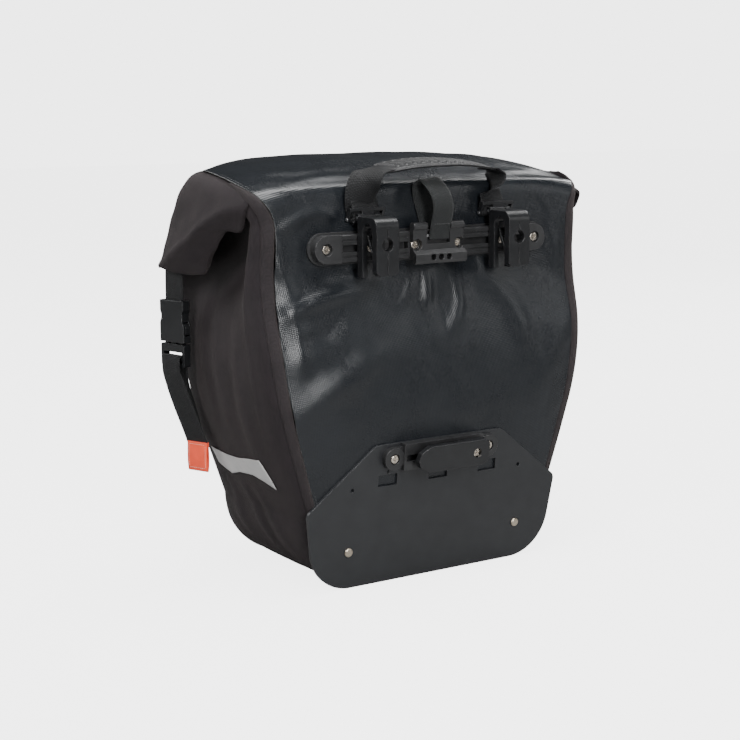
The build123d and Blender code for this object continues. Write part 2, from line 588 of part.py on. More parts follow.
def make_side_strap():
    """Everything on the right side; the left side is its mirror image."""
    bx, by, bz = BUCKLE_TOP
    turn = math.radians(STRAP_TWIST)
    pieces = {}
    socket = buckle_place(socket_shape())
    insert = buckle_place(insert_shape())
    upper = strap_between((bx - 0.9, by, bz + 46), (bx, by, bz - 5.9), STRAP_TWIST, WEB, WEB_T)
    parts["right_ear"] = parts["right_ear"] - upper
    parts["left_ear"] = mirrored(parts["right_ear"])
    pieces["upper_strap"] = largest(upper - socket)
    pieces["buckle_socket"] = socket
    pieces["buckle_insert"] = insert
    pieces["rear_release_arm"] = buckle_place(release_arm(1))
    pieces["front_release_arm"] = buckle_place(release_arm(-1))
    lock_z = bz - 64
    anchored = strap_between((bx - 0.2, by, lock_z + 5.5), ANCHOR, STRAP_TWIST, WEB, WEB_T)
    pieces["anchor_strap"] = largest(anchored - insert)
    out_x = bx + TAIL_OFFSET * math.cos(turn)
    out_y = by - TAIL_OFFSET * math.sin(turn)
    knee = (out_x, out_y, lock_z - 3)
    tail = strap_between((out_x, out_y, lock_z + 12), knee, STRAP_TWIST, WEB, WEB_T)
    tail = tail + strap_between(knee, TAIL_END, STRAP_TWIST + 8, WEB, WEB_T)
    pieces["tail_strap"] = tail
    tx, ty, tz = TAIL_END
    tab = strap_between((tx, ty, tz + 2), (tx, ty, tz - 26), STRAP_TWIST + 8, WEB - 1, 3.2)
    pieces["end_tab"] = tab - tail
    for name, shape in pieces.items():
        parts["right_" + name] = shape
        parts["left_" + name] = mirrored(shape)


def make_reflective_strips():
    """Thin strips sewn to the gussets: a slice of the gusset's own outer skin, moved out."""
    outer = body_form(-0.6)
    skin = outer - body_form(-0.1)
    band = yz_prism([(26, 126), (60, 122.5), (146, 121), (146, 97), (80, 103), (34, 101)], 100, 260)
    strip = skin & band
    parts["reflective_strips"] = group([strip, mirrored(strip)])


def main():
    make_body_panels()
    make_back_board()
    make_roof_and_roll()
    make_rail()
    make_rail_fixings()
    make_centre_block()
    make_hooks()
    make_grip()
    make_handle_webbing()
    make_lower_plate()
    make_lower_bracket()
    make_side_strap()
    make_reflective_strips()
    os.makedirs("parts", exist_ok=True)
    for name, shape in parts.items():
        export_step(shape, f"parts/{name}.step")
    print(len(parts), "parts written")


main()
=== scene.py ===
"""Looks of a roll-top pannier bag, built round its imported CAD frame.

Shapes are worked out in millimetres. +Z is up, +X is to the right seen from the rack side, and the
rack side faces -Y. Depths called "rel" are measured from the plane of the rail's screw heads.
"""
import json
import math

import bpy
import numpy as np
from mathutils import Matrix, Vector, noise


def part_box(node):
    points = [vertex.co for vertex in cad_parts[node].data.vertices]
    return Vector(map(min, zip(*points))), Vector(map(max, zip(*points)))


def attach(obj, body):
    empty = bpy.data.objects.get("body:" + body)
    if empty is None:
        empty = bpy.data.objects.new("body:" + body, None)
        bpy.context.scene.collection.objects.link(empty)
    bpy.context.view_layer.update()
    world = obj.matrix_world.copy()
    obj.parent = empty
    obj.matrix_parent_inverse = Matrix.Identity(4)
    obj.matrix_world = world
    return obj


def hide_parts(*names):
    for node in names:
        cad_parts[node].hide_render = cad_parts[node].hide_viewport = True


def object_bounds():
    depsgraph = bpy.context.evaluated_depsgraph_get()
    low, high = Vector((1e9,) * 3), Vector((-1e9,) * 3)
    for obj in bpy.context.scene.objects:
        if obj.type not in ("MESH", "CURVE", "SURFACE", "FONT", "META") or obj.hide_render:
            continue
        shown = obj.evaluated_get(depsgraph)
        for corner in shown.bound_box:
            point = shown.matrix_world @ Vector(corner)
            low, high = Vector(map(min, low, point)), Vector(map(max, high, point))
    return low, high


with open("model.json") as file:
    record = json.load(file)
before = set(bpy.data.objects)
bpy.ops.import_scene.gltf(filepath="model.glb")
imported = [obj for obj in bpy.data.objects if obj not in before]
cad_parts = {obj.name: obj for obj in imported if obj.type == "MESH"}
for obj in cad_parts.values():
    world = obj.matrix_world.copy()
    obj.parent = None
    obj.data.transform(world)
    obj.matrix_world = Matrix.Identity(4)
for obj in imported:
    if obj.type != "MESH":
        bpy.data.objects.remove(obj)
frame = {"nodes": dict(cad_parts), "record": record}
CAD_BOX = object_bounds()
MM = 0.001                                  # metres in a millimetre


def corner_mm(node, which):
    """Lowest (0) or highest (1) corner of a CAD node, in millimetres."""
    return np.array(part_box(node)[which]) / MM


RACK_Y = corner_mm("rail", 0)[1] + 1.0      # plane of the rail's screw heads
WEB, WEB_T = 25.0, 1.6                      # side strap's width and thickness
HANDLE_WEB_T = 1.7
STRAP_TWIST = math.radians(15)              # the side straps face this much towards the rack
TAIL_TWIST = STRAP_TWIST * 1.53             # the same at the free tail's end
BUCKLE_TOP = (205.0, 141.0, 270.0)          # x, rel y, z of the socket's upper edge
BUCKLE_HEIGHT = 64.0
TARP_T = 1.1                                # thickness of the tarpaulin
RIGHT_DROOP = 6.5                           # how much lower the roof's right end hangs
GUSSET_SEED = {1: 11, -1: 23}               # noise seeds of the right and the left gusset
ROOF_RUN = 376.0                            # run up the back sheet at which the roof begins
BACKDROP = 4.0                              # brightness of the studio behind the object

SEAM_CORNER, SEAM_BOTTOM_HALF = 55.0, 73.0
SIDE_CORNER, SIDE_BOTTOM_HALF = 75.0, 75.0
SHOULDER_Z = 345.0                          # above this the seams turn over the shoulders
SEAM_HALF = [
    (55, 128), (89, 137), (126, 147), (162, 157), (204, 165), (244, 168.5), (294, 168.5), (345, 168),
]
SIDE_HALF = [(75, 150), (112, 164), (149, 178), (198, 189), (247, 194.5), (300, 196), (345, 193)]
BACK_REL = [(0, 6.9), (70, -0.1), (138, -6.9), (180, -8.4), (235, -4), (275, 5.6), (303, 9.9), (345, 10)]
FRONT_REL = [(0, 168), (60, 175), (130, 180.5), (240, 179), (300, 172.5), (345, 163)]
# Over the shoulder and round the roll: rel y and z on the middle line, then x, rel y and z of the edge.
ROOF = [
    (10, 345, 168, 10, 345), (10, 358, 171, 10.5, 357), (10.3, 371, 176.5, 12, 366),
    (12.5, 379, 182, 18, 374), (22, 384.5, 187, 31, 380), (40, 391.5, 190, 48, 385),
    (60, 398, 190.5, 68, 389), (80, 402.5, 190.5, 86, 391.5), (100, 404.6, 189, 102, 392.5),
    (122, 404.8, 181, 122, 391.5), (142, 402.6, 172, 141, 389.5), (153, 398, 167, 151, 386.5),
    (157, 392, 166, 154, 382), (154.5, 386.5, 166, 151, 378), (146, 384.8, 166, 143, 377.5),
    (128, 386, 166, 128, 379),
]
# The gusset over the shoulder: seam x, rel y, z, then the widest x and z, then the front seam's rel y.
SHOULDER = [
    (168, 10, 345, 192, 345, 163), (171, 10.5, 357, 192, 356, 159), (176.5, 12, 366, 192, 364, 156),
    (182, 18, 374, 191.5, 371, 153), (187, 31, 380, 191, 377, 150), (190, 48, 385, 190.5, 384, 147),
]


# ---------------------------------------------------------------- curves and grids
def table_value(table, at):
    """Smooth value of a table of (position, value) pairs."""
    xs, ys = np.array(table, float).T
    slope = np.gradient(ys, xs)
    at = np.clip(np.asarray(at, float), xs[0], xs[-1])
    i = np.clip(np.searchsorted(xs, at, side="right") - 1, 0, len(xs) - 2)
    h = xs[i + 1] - xs[i]
    f = (at - xs[i]) / h
    return ((2 * f**3 - 3 * f**2 + 1) * ys[i] + (f**3 - 2 * f**2 + f) * h * slope[i]
            + (3 * f**2 - 2 * f**3) * ys[i + 1] + (f**3 - f**2) * h * slope[i + 1])


def curve_through(knots, count):
    """Smooth curve of evenly spaced rows through rows of numbers."""
    k = np.array(knots, float)
    along = np.concatenate([[0], np.cumsum(np.linalg.norm(np.diff(k, axis=0), axis=1))])
    at = np.linspace(0, along[-1], count)
    columns = [table_value(np.stack([along, column], axis=1), at) for column in k.T]
    return np.stack(columns, axis=1)


def smooth_step(low, high, value):
    """Eased rise from nought at low to one at high."""
    t = np.clip((value - low) / (high - low), 0, 1)
    return t * t * (3 - 2 * t)


def arc_lengths(points, axis):
    """Distance run along one axis of a grid of points."""
    step = np.linalg.norm(np.diff(points, axis=axis), axis=-1)
    zero_shape = list(step.shape)
    zero_shape[axis] = 1
    return np.concatenate([np.zeros(zero_shape), np.cumsum(step, axis=axis)], axis=axis)


def grid_normals(points):
    """Unit normals of a grid of points."""
    across = np.gradient(points, axis=1)
    along = np.gradient(points, axis=0)
    normal = np.cross(across, along)
    return normal / np.maximum(np.linalg.norm(normal, axis=-1, keepdims=True), 1e-9)


def push(points, amount, flip=1.0):
    """Move a grid of points along its normals."""
    return points + grid_normals(points) * flip * np.asarray(amount)[..., None]


def ripple(points, size, height, seed):
    """Soft noise over a grid of points; size is the wavelength along X, Y and Z."""
    flat = points.reshape(-1, 3) / np.array(size)
    shift = Vector((seed * 7.31, seed * 3.17, seed * 5.53))
    values = [noise.noise(Vector(p) + shift) for p in flat]
    return height * np.array(values).reshape(points.shape[:2])


def folds(a, b, lines):
    """Height of soft ridges in a plane; each line is (points, width, height)."""
    total = np.zeros_like(a)
    for knots, width, height in lines:
        path = curve_through(knots, 14)
        best = np.full(a.shape, 1e9)
        share = np.zeros_like(a)
        for i in range(len(path) - 1):
            d = path[i + 1] - path[i]
            t = np.clip(((a - path[i, 0]) * d[0] + (b - path[i, 1]) * d[1]) / (d @ d), 0, 1)
            off = np.hypot(a - path[i, 0] - t * d[0], b - path[i, 1] - t * d[1])
            near = off < best
            best = np.where(near, off, best)
            share = np.where(near, (i + t) / (len(path) - 1), share)
        taper = np.sin(np.pi * np.clip(share * 0.9 + 0.05, 0, 1)) ** 0.7
        total += height * taper * np.exp(-((best / width) ** 2))
    return total


def face_grid(rows, cols, wrap):
    """Quads of a grid of points, closed round its columns if wrap is set."""
    index = np.arange(rows * cols).reshape(rows, cols)
    if wrap:
        index = np.concatenate([index, index[:, :1]], axis=1)
    corners = [index[:-1, :-1], index[:-1, 1:], index[1:, 1:], index[1:, :-1]]
    return np.stack(corners, axis=-1).reshape(-1, 4)


class Mesh:
    """Collects grids of points in millimetres and makes one object of them."""

    def __init__(self):
        self.points, self.faces, self.fabric, self.count = [], [], [], 0

    def grid(self, points, wrap=False, ends=False, flip=False, fabric=None):
        """Add a grid; fabric holds each point's place on the flat cloth, in millimetres."""
        rows, cols = points.shape[:2]
        quads = face_grid(rows, cols, wrap)
        if flip:
            quads = quads[:, ::-1]
        if fabric is None:
            fabric = np.stack([arc_lengths(points, 1), arc_lengths(points, 0)], axis=-1)
        faces = (quads + self.count).tolist()
        if ends:
            first = list(range(self.count, self.count + cols))
            last = [self.count + (rows - 1) * cols + c for c in range(cols)]
            faces += [first[::-1] if not flip else first, last if not flip else last[::-1]]
        self.points.append(points.reshape(-1, 3))
        self.fabric.append(fabric.reshape(-1, 2))
        self.faces += faces
        self.count += rows * cols
        return self

    def make(self, name, slot, body, materials, replaces=()):
        """One object on a body, with the materials of these names."""
        mesh = bpy.data.meshes.new(name)
        points = np.concatenate(self.points) * MM
        mesh.from_pydata(points.tolist(), [], self.faces)
        fabric = np.concatenate(self.fabric) * MM
        layer = mesh.attributes.new("fabric", "FLOAT_VECTOR", "POINT")
        layer.data.foreach_set("vector", np.column_stack([fabric, np.zeros(len(fabric))]).ravel())
        mesh.polygons.foreach_set("use_smooth", [True] * len(mesh.polygons))
        for material in materials:
            mesh.materials.append(MATERIALS[material])
        mesh.update()
        obj = bpy.data.objects.new(name, mesh)
        bpy.context.scene.collection.objects.link(obj)
        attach(obj, body)
        if replaces:
            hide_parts(*replaces)
        return obj


def thicken(obj, thickness, offset, rim=0):
    """Give a sheet its thickness; offset 1 adds it outside, -1 inside and 0 on both faces."""
    solid = obj.modifiers.new("thickness", "SOLIDIFY")
    solid.thickness = thickness * MM
    solid.offset = offset
    solid.use_rim = True
    solid.material_offset_rim = rim


# ---------------------------------------------------------------- materials
class Nodes:
    """Short names for building the node tree of a material or a world."""

    def __init__(self, owner):
        owner.use_nodes = True
        self.owner, self.tree = owner, owner.node_tree
        self.shader = self.tree.nodes.get("Principled BSDF")

    def add(self, kind, values=None, **settings):
        node = self.tree.nodes.new(kind)
        for key, value in settings.items():
            setattr(node, key, value)
        for key, value in (values or {}).items():
            if isinstance(value, bpy.types.NodeSocket):
                self.tree.links.new(value, node.inputs[key])
            else:
                node.inputs[key].default_value = value
        return node

    def math(self, operation, a, b=0.0, clamp=False):
        return self.add("ShaderNodeMath", {0: a, 1: b}, operation=operation, use_clamp=clamp).outputs[0]

    def place(self, fabric):
        """Position on the flat cloth, or in the object, in metres."""
        if fabric:
            return self.add("ShaderNodeAttribute", attribute_name="fabric").outputs["Vector"]
        return self.add("ShaderNodeTexCoord").outputs["Object"]

    def stretched(self, vector, scale, turn=0.0):
        values = {"Vector": vector, "Scale": scale, "Rotation": (0, 0, turn)}
        return self.add("ShaderNodeMapping", values).outputs[0]

    def noise(self, vector, size_mm, detail=3.0, rough=0.5):
        """Noise with features of about size_mm millimetres."""
        values = {"Vector": vector, "Scale": 1000.0 / size_mm, "Detail": detail, "Roughness": rough}
        return self.add("ShaderNodeTexNoise", values).outputs["Fac"]

    def threads(self, vector, period_mm, direction):
        """Parallel rounded threads, period_mm apart."""
        scale = math.pi / 10 / (period_mm * MM)
        values = {"Vector": vector, "Scale": scale, "Distortion": 0.0}
        node = self.add("ShaderNodeTexWave", values, wave_type="BANDS", bands_direction=direction)
        return node.outputs["Fac"]

    def weave(self, vector, across_mm, along_mm):
        """Over and under threads."""
        a = self.threads(vector, across_mm, "X")
        b = self.threads(vector, along_mm, "Y")
        over = self.math("MULTIPLY", a, b)
        return self.math("ADD", over, self.math("MULTIPLY", self.math("SUBTRACT", 1.0, a),
                                                self.math("SUBTRACT", 1.0, b)))

    def ramp(self, value, stops):
        node = self.add("ShaderNodeValToRGB", {"Fac": value})
        ramp = node.color_ramp
        ramp.elements[0].position, ramp.elements[0].color = stops[0][0], (*stops[0][1], 1)
        ramp.elements[1].position, ramp.elements[1].color = stops[-1][0], (*stops[-1][1], 1)
        for position, colour in stops[1:-1]:
            ramp.elements.new(position).color = (*colour, 1)
        return node.outputs["Color"]

    def spread(self, value, low, high):
        values = {"Value": value, "To Min": low, "To Max": high}
        return self.add("ShaderNodeMapRange", values).outputs["Result"]

    def mix(self, factor, a, b, blend="MIX"):
        node = self.add("ShaderNodeMix", data_type="RGBA", blend_type=blend)
        for socket, value in ((node.inputs[0], factor), (node.inputs[6], a), (node.inputs[7], b)):
            if isinstance(value, bpy.types.NodeSocket):
                self.tree.links.new(value, socket)
            else:
                socket.default_value = value if isinstance(value, float) else (*value, 1)
        return node.outputs[2]

    def bump(self, height, distance_mm, strength=1.0, base=None):
        values = {"Height": height, "Distance": distance_mm * MM, "Strength": strength}
        if base is not None:
            values["Normal"] = base
        return self.add("ShaderNodeBump", values).outputs["Normal"]

    def soft_edges(self, radius_mm):
        return self.add("ShaderNodeBevel", {"Radius": radius_mm * MM}, samples=4).outputs["Normal"]

    def sharp_edge_mask(self, rounded, gain):
        """One on sharp edges and nought on flat faces."""
        flat = self.add("ShaderNodeNewGeometry").outputs["Normal"]
        dot = self.add("ShaderNodeVectorMath", {0: rounded, 1: flat}, operation="DOT_PRODUCT")
        return self.math("MULTIPLY", self.math("SUBTRACT", 1.0, dot.outputs["Value"]), gain, clamp=True)

    def finish(self, colour, roughness, normal, **fixed):
        sockets = self.shader.inputs
        for key, value in (("Base Color", colour), ("Roughness", roughness), ("Normal", normal)):
            if isinstance(value, bpy.types.NodeSocket):
                self.tree.links.new(value, sockets[key])
            else:
                sockets[key].default_value = value
        for key, value in fixed.items():
            sockets[key.replace("_", " ")].default_value = value
        return self.owner


def material_nodes(name):
    return Nodes(bpy.data.materials.new(name))


def tarpaulin_material(name):
    """Satin coated fabric whose scrim shows through as a fine diagonal grid."""
    n = material_nodes(name)
    place = n.place(True)
    turned = n.stretched(place, (1, 1, 1), math.radians(38))
    scrim = n.weave(turned, 2.3, 2.3)
    grain = n.noise(place, 0.9, 4.0, 0.6)
    dents = n.noise(place, 26.0, 3.0, 0.5)
    smudge = n.noise(n.stretched(place, (1.0, 0.6, 1)), 55.0, 4.0, 0.6)
    colour = n.ramp(smudge, [(0.3, (0.0040, 0.0052, 0.0070)), (0.7, (0.0065, 0.0082, 0.0105))])
    mixed = n.math("ADD", n.math("MULTIPLY", smudge, 0.7), n.math("MULTIPLY", grain, 0.3))
    rough = n.spread(mixed, 0.22, 0.34)
    normal = n.bump(dents, 3.0, 0.25)
    normal = n.bump(scrim, 0.20, 0.7, normal)
    normal = n.bump(grain, 0.05, 0.25, normal)
    return n.finish(colour, rough, normal, Specular_IOR_Level=0.42, Coat_Weight=0.05, Coat_Roughness=0.25)


def cut_edge_material(name):
    """The pale cut edge of the coated fabric."""
    n = material_nodes(name)
    place = n.place(False)
    dots = n.noise(place, 1.6, 2.0, 0.5)
    colour = n.ramp(dots, [(0.38, (0.02, 0.022, 0.024)), (0.62, (0.16, 0.16, 0.16))])
    return n.finish(colour, 0.6, n.bump(dots, 0.3, 0.6))


def cloth_material(name, painted_shade_faces, light, thread_mm, rough, sheen, depth):
    """Matte coated fabric with a fine weave and a little mottling."""
    n = material_nodes(name)
    place = n.place(True)
    weave = n.weave(place, thread_mm, thread_mm * 0.8)
    slub = n.noise(n.stretched(place, (1.0, 0.25, 1)), 2.2, 3.0, 0.6)
    mottle = n.noise(place, 30.0, 4.0, 0.55)
    mixed = n.math("ADD", n.math("MULTIPLY", mottle, 0.55), n.math("MULTIPLY", slub, 0.45))
    colour = n.ramp(mixed, [(0.34, painted_shade_faces), (0.66, light)])
    roughness = n.spread(mixed, rough - 0.06, rough + 0.06)
    normal = n.bump(mottle, 2.0, 0.3)
    normal = n.bump(weave, depth * 1.6, 1.0, normal)
    normal = n.bump(slub, 0.16, 0.8, normal)
    return n.finish(colour, roughness, normal, Sheen_Weight=sheen, Sheen_Roughness=0.45,
                    Sheen_Tint=(0.75, 0.62, 0.58, 1), Specular_IOR_Level=0.25)


def webbing_material(name, painted_shade_faces, light, rib_mm, fuzz):
    """Woven nylon tape with chevron ribs."""
    n = material_nodes(name)
    place = n.place(True)
    ribs = n.threads(n.stretched(place, (1, 1, 1), math.radians(24)), rib_mm, "Y")
    cross = n.threads(n.stretched(place, (1, 1, 1), math.radians(-24)), rib_mm, "Y")
    cords = n.threads(place, 1.5, "X")
    height = n.math("ADD", n.math("MULTIPLY", ribs, cross), n.math("MULTIPLY", cords, 0.6))
    hairs = n.noise(place, 0.7, 4.0, 0.7)
    colour = n.ramp(n.math("ADD", n.math("MULTIPLY", height, 0.45), n.math("MULTIPLY", hairs, 0.4)),
                    [(0.25, painted_shade_faces), (0.75, light)])
    normal = n.bump(height, 0.35, 0.9)
    normal = n.bump(hairs, 0.2, 0.6, normal)
    return n.finish(colour, n.spread(hairs, 0.5, 0.72), normal, Sheen_Weight=fuzz, Sheen_Roughness=0.5,
                    Specular_IOR_Level=0.25)


def plastic_material(name, painted_shade_faces, light, rough, grain_mm=0.8, grain_depth=0.1, edge_mm=0.7, edge_highlight=0.25):
    """Moulded plastic with a spark-eroded grain, soft edges, and sharp edges painted paler as a highlight
    and made a little glossier.
    """
    n = material_nodes(name)
    place = n.place(False)
    grain = n.noise(place, grain_mm, 5.0, 0.65)
    flow = n.noise(place, 18.0, 3.0, 0.5)
    rounded = n.soft_edges(edge_mm)
    # mask of sharp edges: it drives the painted edge highlight and a little extra gloss
    edge_highlight_and_gloss = n.sharp_edge_mask(rounded, 6.0)
    base = n.ramp(flow, [(0.3, painted_shade_faces), (0.7, light)])
    # painted highlight: sharp edges are mixed towards a paler colour of the plastic
    highlight_colour = tuple(min(1.0, c * 1.9 + 0.01) for c in light)
    colour = n.mix(n.math("MULTIPLY", edge_highlight_and_gloss, edge_highlight), base, highlight_colour)
    matte = n.spread(grain, rough - 0.05, rough + 0.08)
    roughness = n.math("SUBTRACT", matte, n.math("MULTIPLY", edge_highlight_and_gloss, 0.08))
    return n.finish(colour, roughness, n.bump(grain, grain_depth, 0.8, rounded), Specular_IOR_Level=0.5)


def metal_material(name, painted_shade_faces, light, rough, edge_mm=0.4):
    """Faintly brushed metal with soft edges."""
    n = material_nodes(name)
    place = n.place(False)
    brushed = n.noise(n.stretched(place, (1, 1, 4)), 1.2, 4.0, 0.6)
    colour = n.ramp(brushed, [(0.3, painted_shade_faces), (0.7, light)])
    normal = n.bump(brushed, 0.05, 0.5, n.soft_edges(edge_mm))
    return n.finish(colour, n.spread(brushed, rough - 0.06, rough + 0.1), normal, Metallic=1.0)


def reflector_material(name):
    """Silver reflective film with a faint cell pattern."""
    n = material_nodes(name)
    place = n.place(True)
    cells = n.add("ShaderNodeTexVoronoi", {"Vector": place, "Scale": 900.0}, feature="DISTANCE_TO_EDGE")
    edge = n.math("MULTIPLY", cells.outputs["Distance"], 6.0, clamp=True)
    mottle = n.noise(place, 14.0, 3.0, 0.5)
    colour = n.ramp(mottle, [(0.3, (0.40, 0.40, 0.395)), (0.7, (0.50, 0.49, 0.48))])
    colour = n.mix(0.15, colour, n.ramp(edge, [(0.0, (0.25, 0.25, 0.25)), (1.0, (0.55, 0.55, 0.55))]))
    normal = n.bump(edge, 0.05, 0.4)
    return n.finish(colour, n.spread(mottle, 0.34, 0.46), normal, Metallic=0.35)


def tab_material(name):
    """Orange-red woven ribbon."""
    n = material_nodes(name)
    place = n.place(True)
    weave = n.weave(place, 0.8, 0.55)
    mottle = n.noise(place, 9.0, 3.0, 0.5)
    colour = n.ramp(n.math("ADD", n.math("MULTIPLY", weave, 0.25), n.math("MULTIPLY", mottle, 0.75)),
                    [(0.3, (0.66, 0.045, 0.010)), (0.7, (0.86, 0.075, 0.018))])
    return n.finish(colour, 0.62, n.bump(weave, 0.15, 0.8), Sheen_Weight=0.2, Sheen_Roughness=0.4)


def thread_material(name, painted_shade_faces, light):
    """Twisted sewing thread."""
    n = material_nodes(name)
    twist = n.noise(n.place(False), 0.5, 3.0, 0.6)
    colour = n.ramp(twist, [(0.35, painted_shade_faces), (0.65, light)])
    return n.finish(colour, n.spread(twist, 0.45, 0.6), n.bump(twist, 0.1, 0.7), Sheen_Weight=0.2)


BLACK = (0.0040, 0.0043, 0.0050)
DARK = (0.0075, 0.0079, 0.0088)
RECIPES = {
    "tarpaulin": (tarpaulin_material,),
    "cut_edge": (cut_edge_material,),
    "gusset_fabric": (cloth_material, (0.0080, 0.0060, 0.0074), (0.0165, 0.0124, 0.0144),
                      1.0, 0.78, 0.06, 0.16),
    "seam_tape": (cloth_material, (0.0100, 0.0078, 0.0090), (0.0200, 0.0156, 0.0174), 1.5, 0.72, 0.08, 0.3),
    "stiffener_board": (plastic_material, DARK, (0.03, 0.03, 0.03), 0.5),
    "rail_plastic": (plastic_material, (0.010, 0.0102, 0.0108), (0.017, 0.0172, 0.018), 0.34,
                     0.9, 0.12, 0.8, 0.35),
    "cap_plastic": (plastic_material, (0.013, 0.0132, 0.014), (0.021, 0.0212, 0.022), 0.34,
                    0.8, 0.1, 0.9, 0.3),
    "pad_rubber": (plastic_material, BLACK, DARK, 0.55, 0.7, 0.1, 1.0, 0.1),
    "hook_plastic": (plastic_material, BLACK, DARK, 0.30, 1.0, 0.16, 1.0, 0.5),
    "screw_steel": (metal_material, (0.45, 0.40, 0.34), (0.72, 0.66, 0.58), 0.22, 0.5),
    "plain_steel": (metal_material, (0.40, 0.40, 0.41), (0.62, 0.62, 0.63), 0.32),
    "rivet_metal": (metal_material, (0.40, 0.34, 0.26), (0.62, 0.55, 0.45), 0.30, 0.8),
    "webbing": (webbing_material, (0.0016, 0.0017, 0.0020), (0.0085, 0.0090, 0.0100), 1.9, 0.02),
    "fuzzy_webbing": (webbing_material, (0.0035, 0.0042, 0.0044), (0.0170, 0.0190, 0.0195), 1.3, 0.08),
    "grip_rubber": (plastic_material, BLACK, DARK, 0.48, 1.6, 0.25, 1.2, 0.3),
    # near-black painted shade for the floors of the grip's slots
    "painted_slot_shade": (plastic_material, (0.0008, 0.0008, 0.0009), (0.0015, 0.0015, 0.0016), 0.8),
    "plate_plastic": (plastic_material, (0.0085, 0.0092, 0.0106), (0.0115, 0.0124, 0.0140), 0.42,
                      0.6, 0.07, 1.0, 0.6),
    "reflector": (reflector_material,),
    "buckle_plastic": (plastic_material, (0.0045, 0.005, 0.0056), (0.008, 0.0086, 0.0094), 0.30,
                       0.7, 0.06, 0.9, 0.4),
    "tab_fabric": (tab_material,),
    "dark_thread": (thread_material, (0.02, 0.02, 0.021), (0.07, 0.07, 0.072)),
    "pale_thread": (thread_material, (0.45, 0.20, 0.14), (0.85, 0.62, 0.52)),
}
# One material for each of the record's slots, and a few for details.
MATERIALS = {name: maker(name, *values) for name, (maker, *values) in RECIPES.items()}


# ---------------------------------------------------------------- soft body
BACK_FOLDS = [
    ([(-171, 262), (-150, 270), (-118, 279), (-78, 284)], 8.5, 5.2),
    ([(-170, 290), (-156, 268), (-150, 244), (-152, 214)], 9.0, 3.4),
    ([(-172, 340), (-164, 318), (-160, 300)], 6.0, 2.4),
    ([(-168, 236), (-132, 243), (-96, 264)], 8.0, -1.9),
    ([(-165, 168), (-140, 184), (-99, 205), (-58, 231)], 15.0, 4.6),
    ([(-172, 318), (-160, 300), (-150, 278)], 7.0, 2.4),
    ([(-163, 342), (-146, 352), (-124, 358), (-104, 352)], 6.5, 2.2),
    ([(-5, 299), (-4, 284), (-8, 262)], 4.6, 2.6),
    ([(27, 296), (32, 272), (18, 236)], 5.5, 2.8),
    ([(8, 300), (6, 268), (10, 240)], 4.5, -1.4),
    ([(-18, 300), (-24, 284), (-38, 262)], 5.0, 2.0),
    ([(62, 292), (92, 262), (112, 206)], 12.0, 2.6),
    ([(140, 352), (153, 322), (158, 286)], 8.0, 2.6),
    ([(126, 362), (142, 346), (156, 318)], 5.0, -1.2),
    ([(164, 250), (150, 220), (120, 178)], 16.0, 2.4),
    ([(-60, 292), (-88, 296), (-112, 296)], 5.0, 1.6),
]
ROOF_FOLDS = [
    ([(-150, 388), (-110, 396), (-60, 398)], 7.0, 1.4),
    ([(-165, 420), (-120, 412), (-70, 416)], 9.0, 1.6),
    ([(60, 396), (110, 400), (160, 412)], 8.0, 1.5),
    ([(-130, 445), (-60, 440), (40, 446)], 10.0, 1.0),
    ([(120, 430), (150, 418), (180, 424)], 8.0, 1.6),
    ([(0, 470), (70, 462), (150, 470)], 9.0, 1.0),
]


def seam_rows(side_count):
    """Heights and half-widths up a panel's seam, round the bottom corner and up the side."""
    angles = np.radians(np.linspace(-90, 0, 16)[1:])
    side_z = np.linspace(SEAM_CORNER, SHOULDER_Z, side_count)[1:]
    corner_half = SEAM_BOTTOM_HALF + SEAM_CORNER * np.cos(angles)
    z = np.concatenate([SEAM_CORNER * (1 + np.sin(angles)), side_z])
    return z, np.concatenate([corner_half, table_value(SEAM_HALF, side_z)])


def seam_depths(z):
    """Rel y of the back seam and the front seam, which lie inside the panels' middle lines."""
    back = table_value(BACK_REL, z) + 4.2 * smooth_step(60, 150, z) * smooth_step(345, 270, z)
    front = table_value(FRONT_REL, z) - 5 * smooth_step(20, 120, z) * smooth_step(345, 290, z)
    return back, front


def right_droop(run):
    """How far the roof's right end has dropped at a run up the sheet."""
    return RIGHT_DROOP * smooth_step(ROOF_RUN, ROOF_RUN + 24, run)


def back_rows():
    """Rows of the one sheet that runs up the back, over the roof and round the roll.

    Each row holds the middle's rel y and z, the edge's x, rel y and z, and the run up the sheet.
    """
    z, half = seam_rows(112)
    lower = np.stack([table_value(BACK_REL, z), z, half, seam_depths(z)[0], z, z], axis=1)
    roof = curve_through(ROOF, 120)[1:]
    step = np.hypot(*np.diff(np.concatenate([lower[-1:, :2], roof[:, :2]]), axis=0).T)
    upper = np.column_stack([roof, SHOULDER_Z + np.cumsum(step)])
    return np.concatenate([lower, upper])


def calm_places(x, run):
    """How freely the back wrinkles: not at all under the pad and the plate, little behind the webbing."""
    far = np.abs(x)
    pad = smooth_step(146, 138, far) * smooth_step(299, 305, run) * smooth_step(352, 343, run)
    plate = smooth_step(158, 132, run)
    webs = smooth_step(44, 54, far) * smooth_step(112, 104, far) * smooth_step(335, 345, run)
    webs = webs * smooth_step(374, 366, run)
    return np.clip(1 - pad - plate - 0.8 * webs, 0, 1)


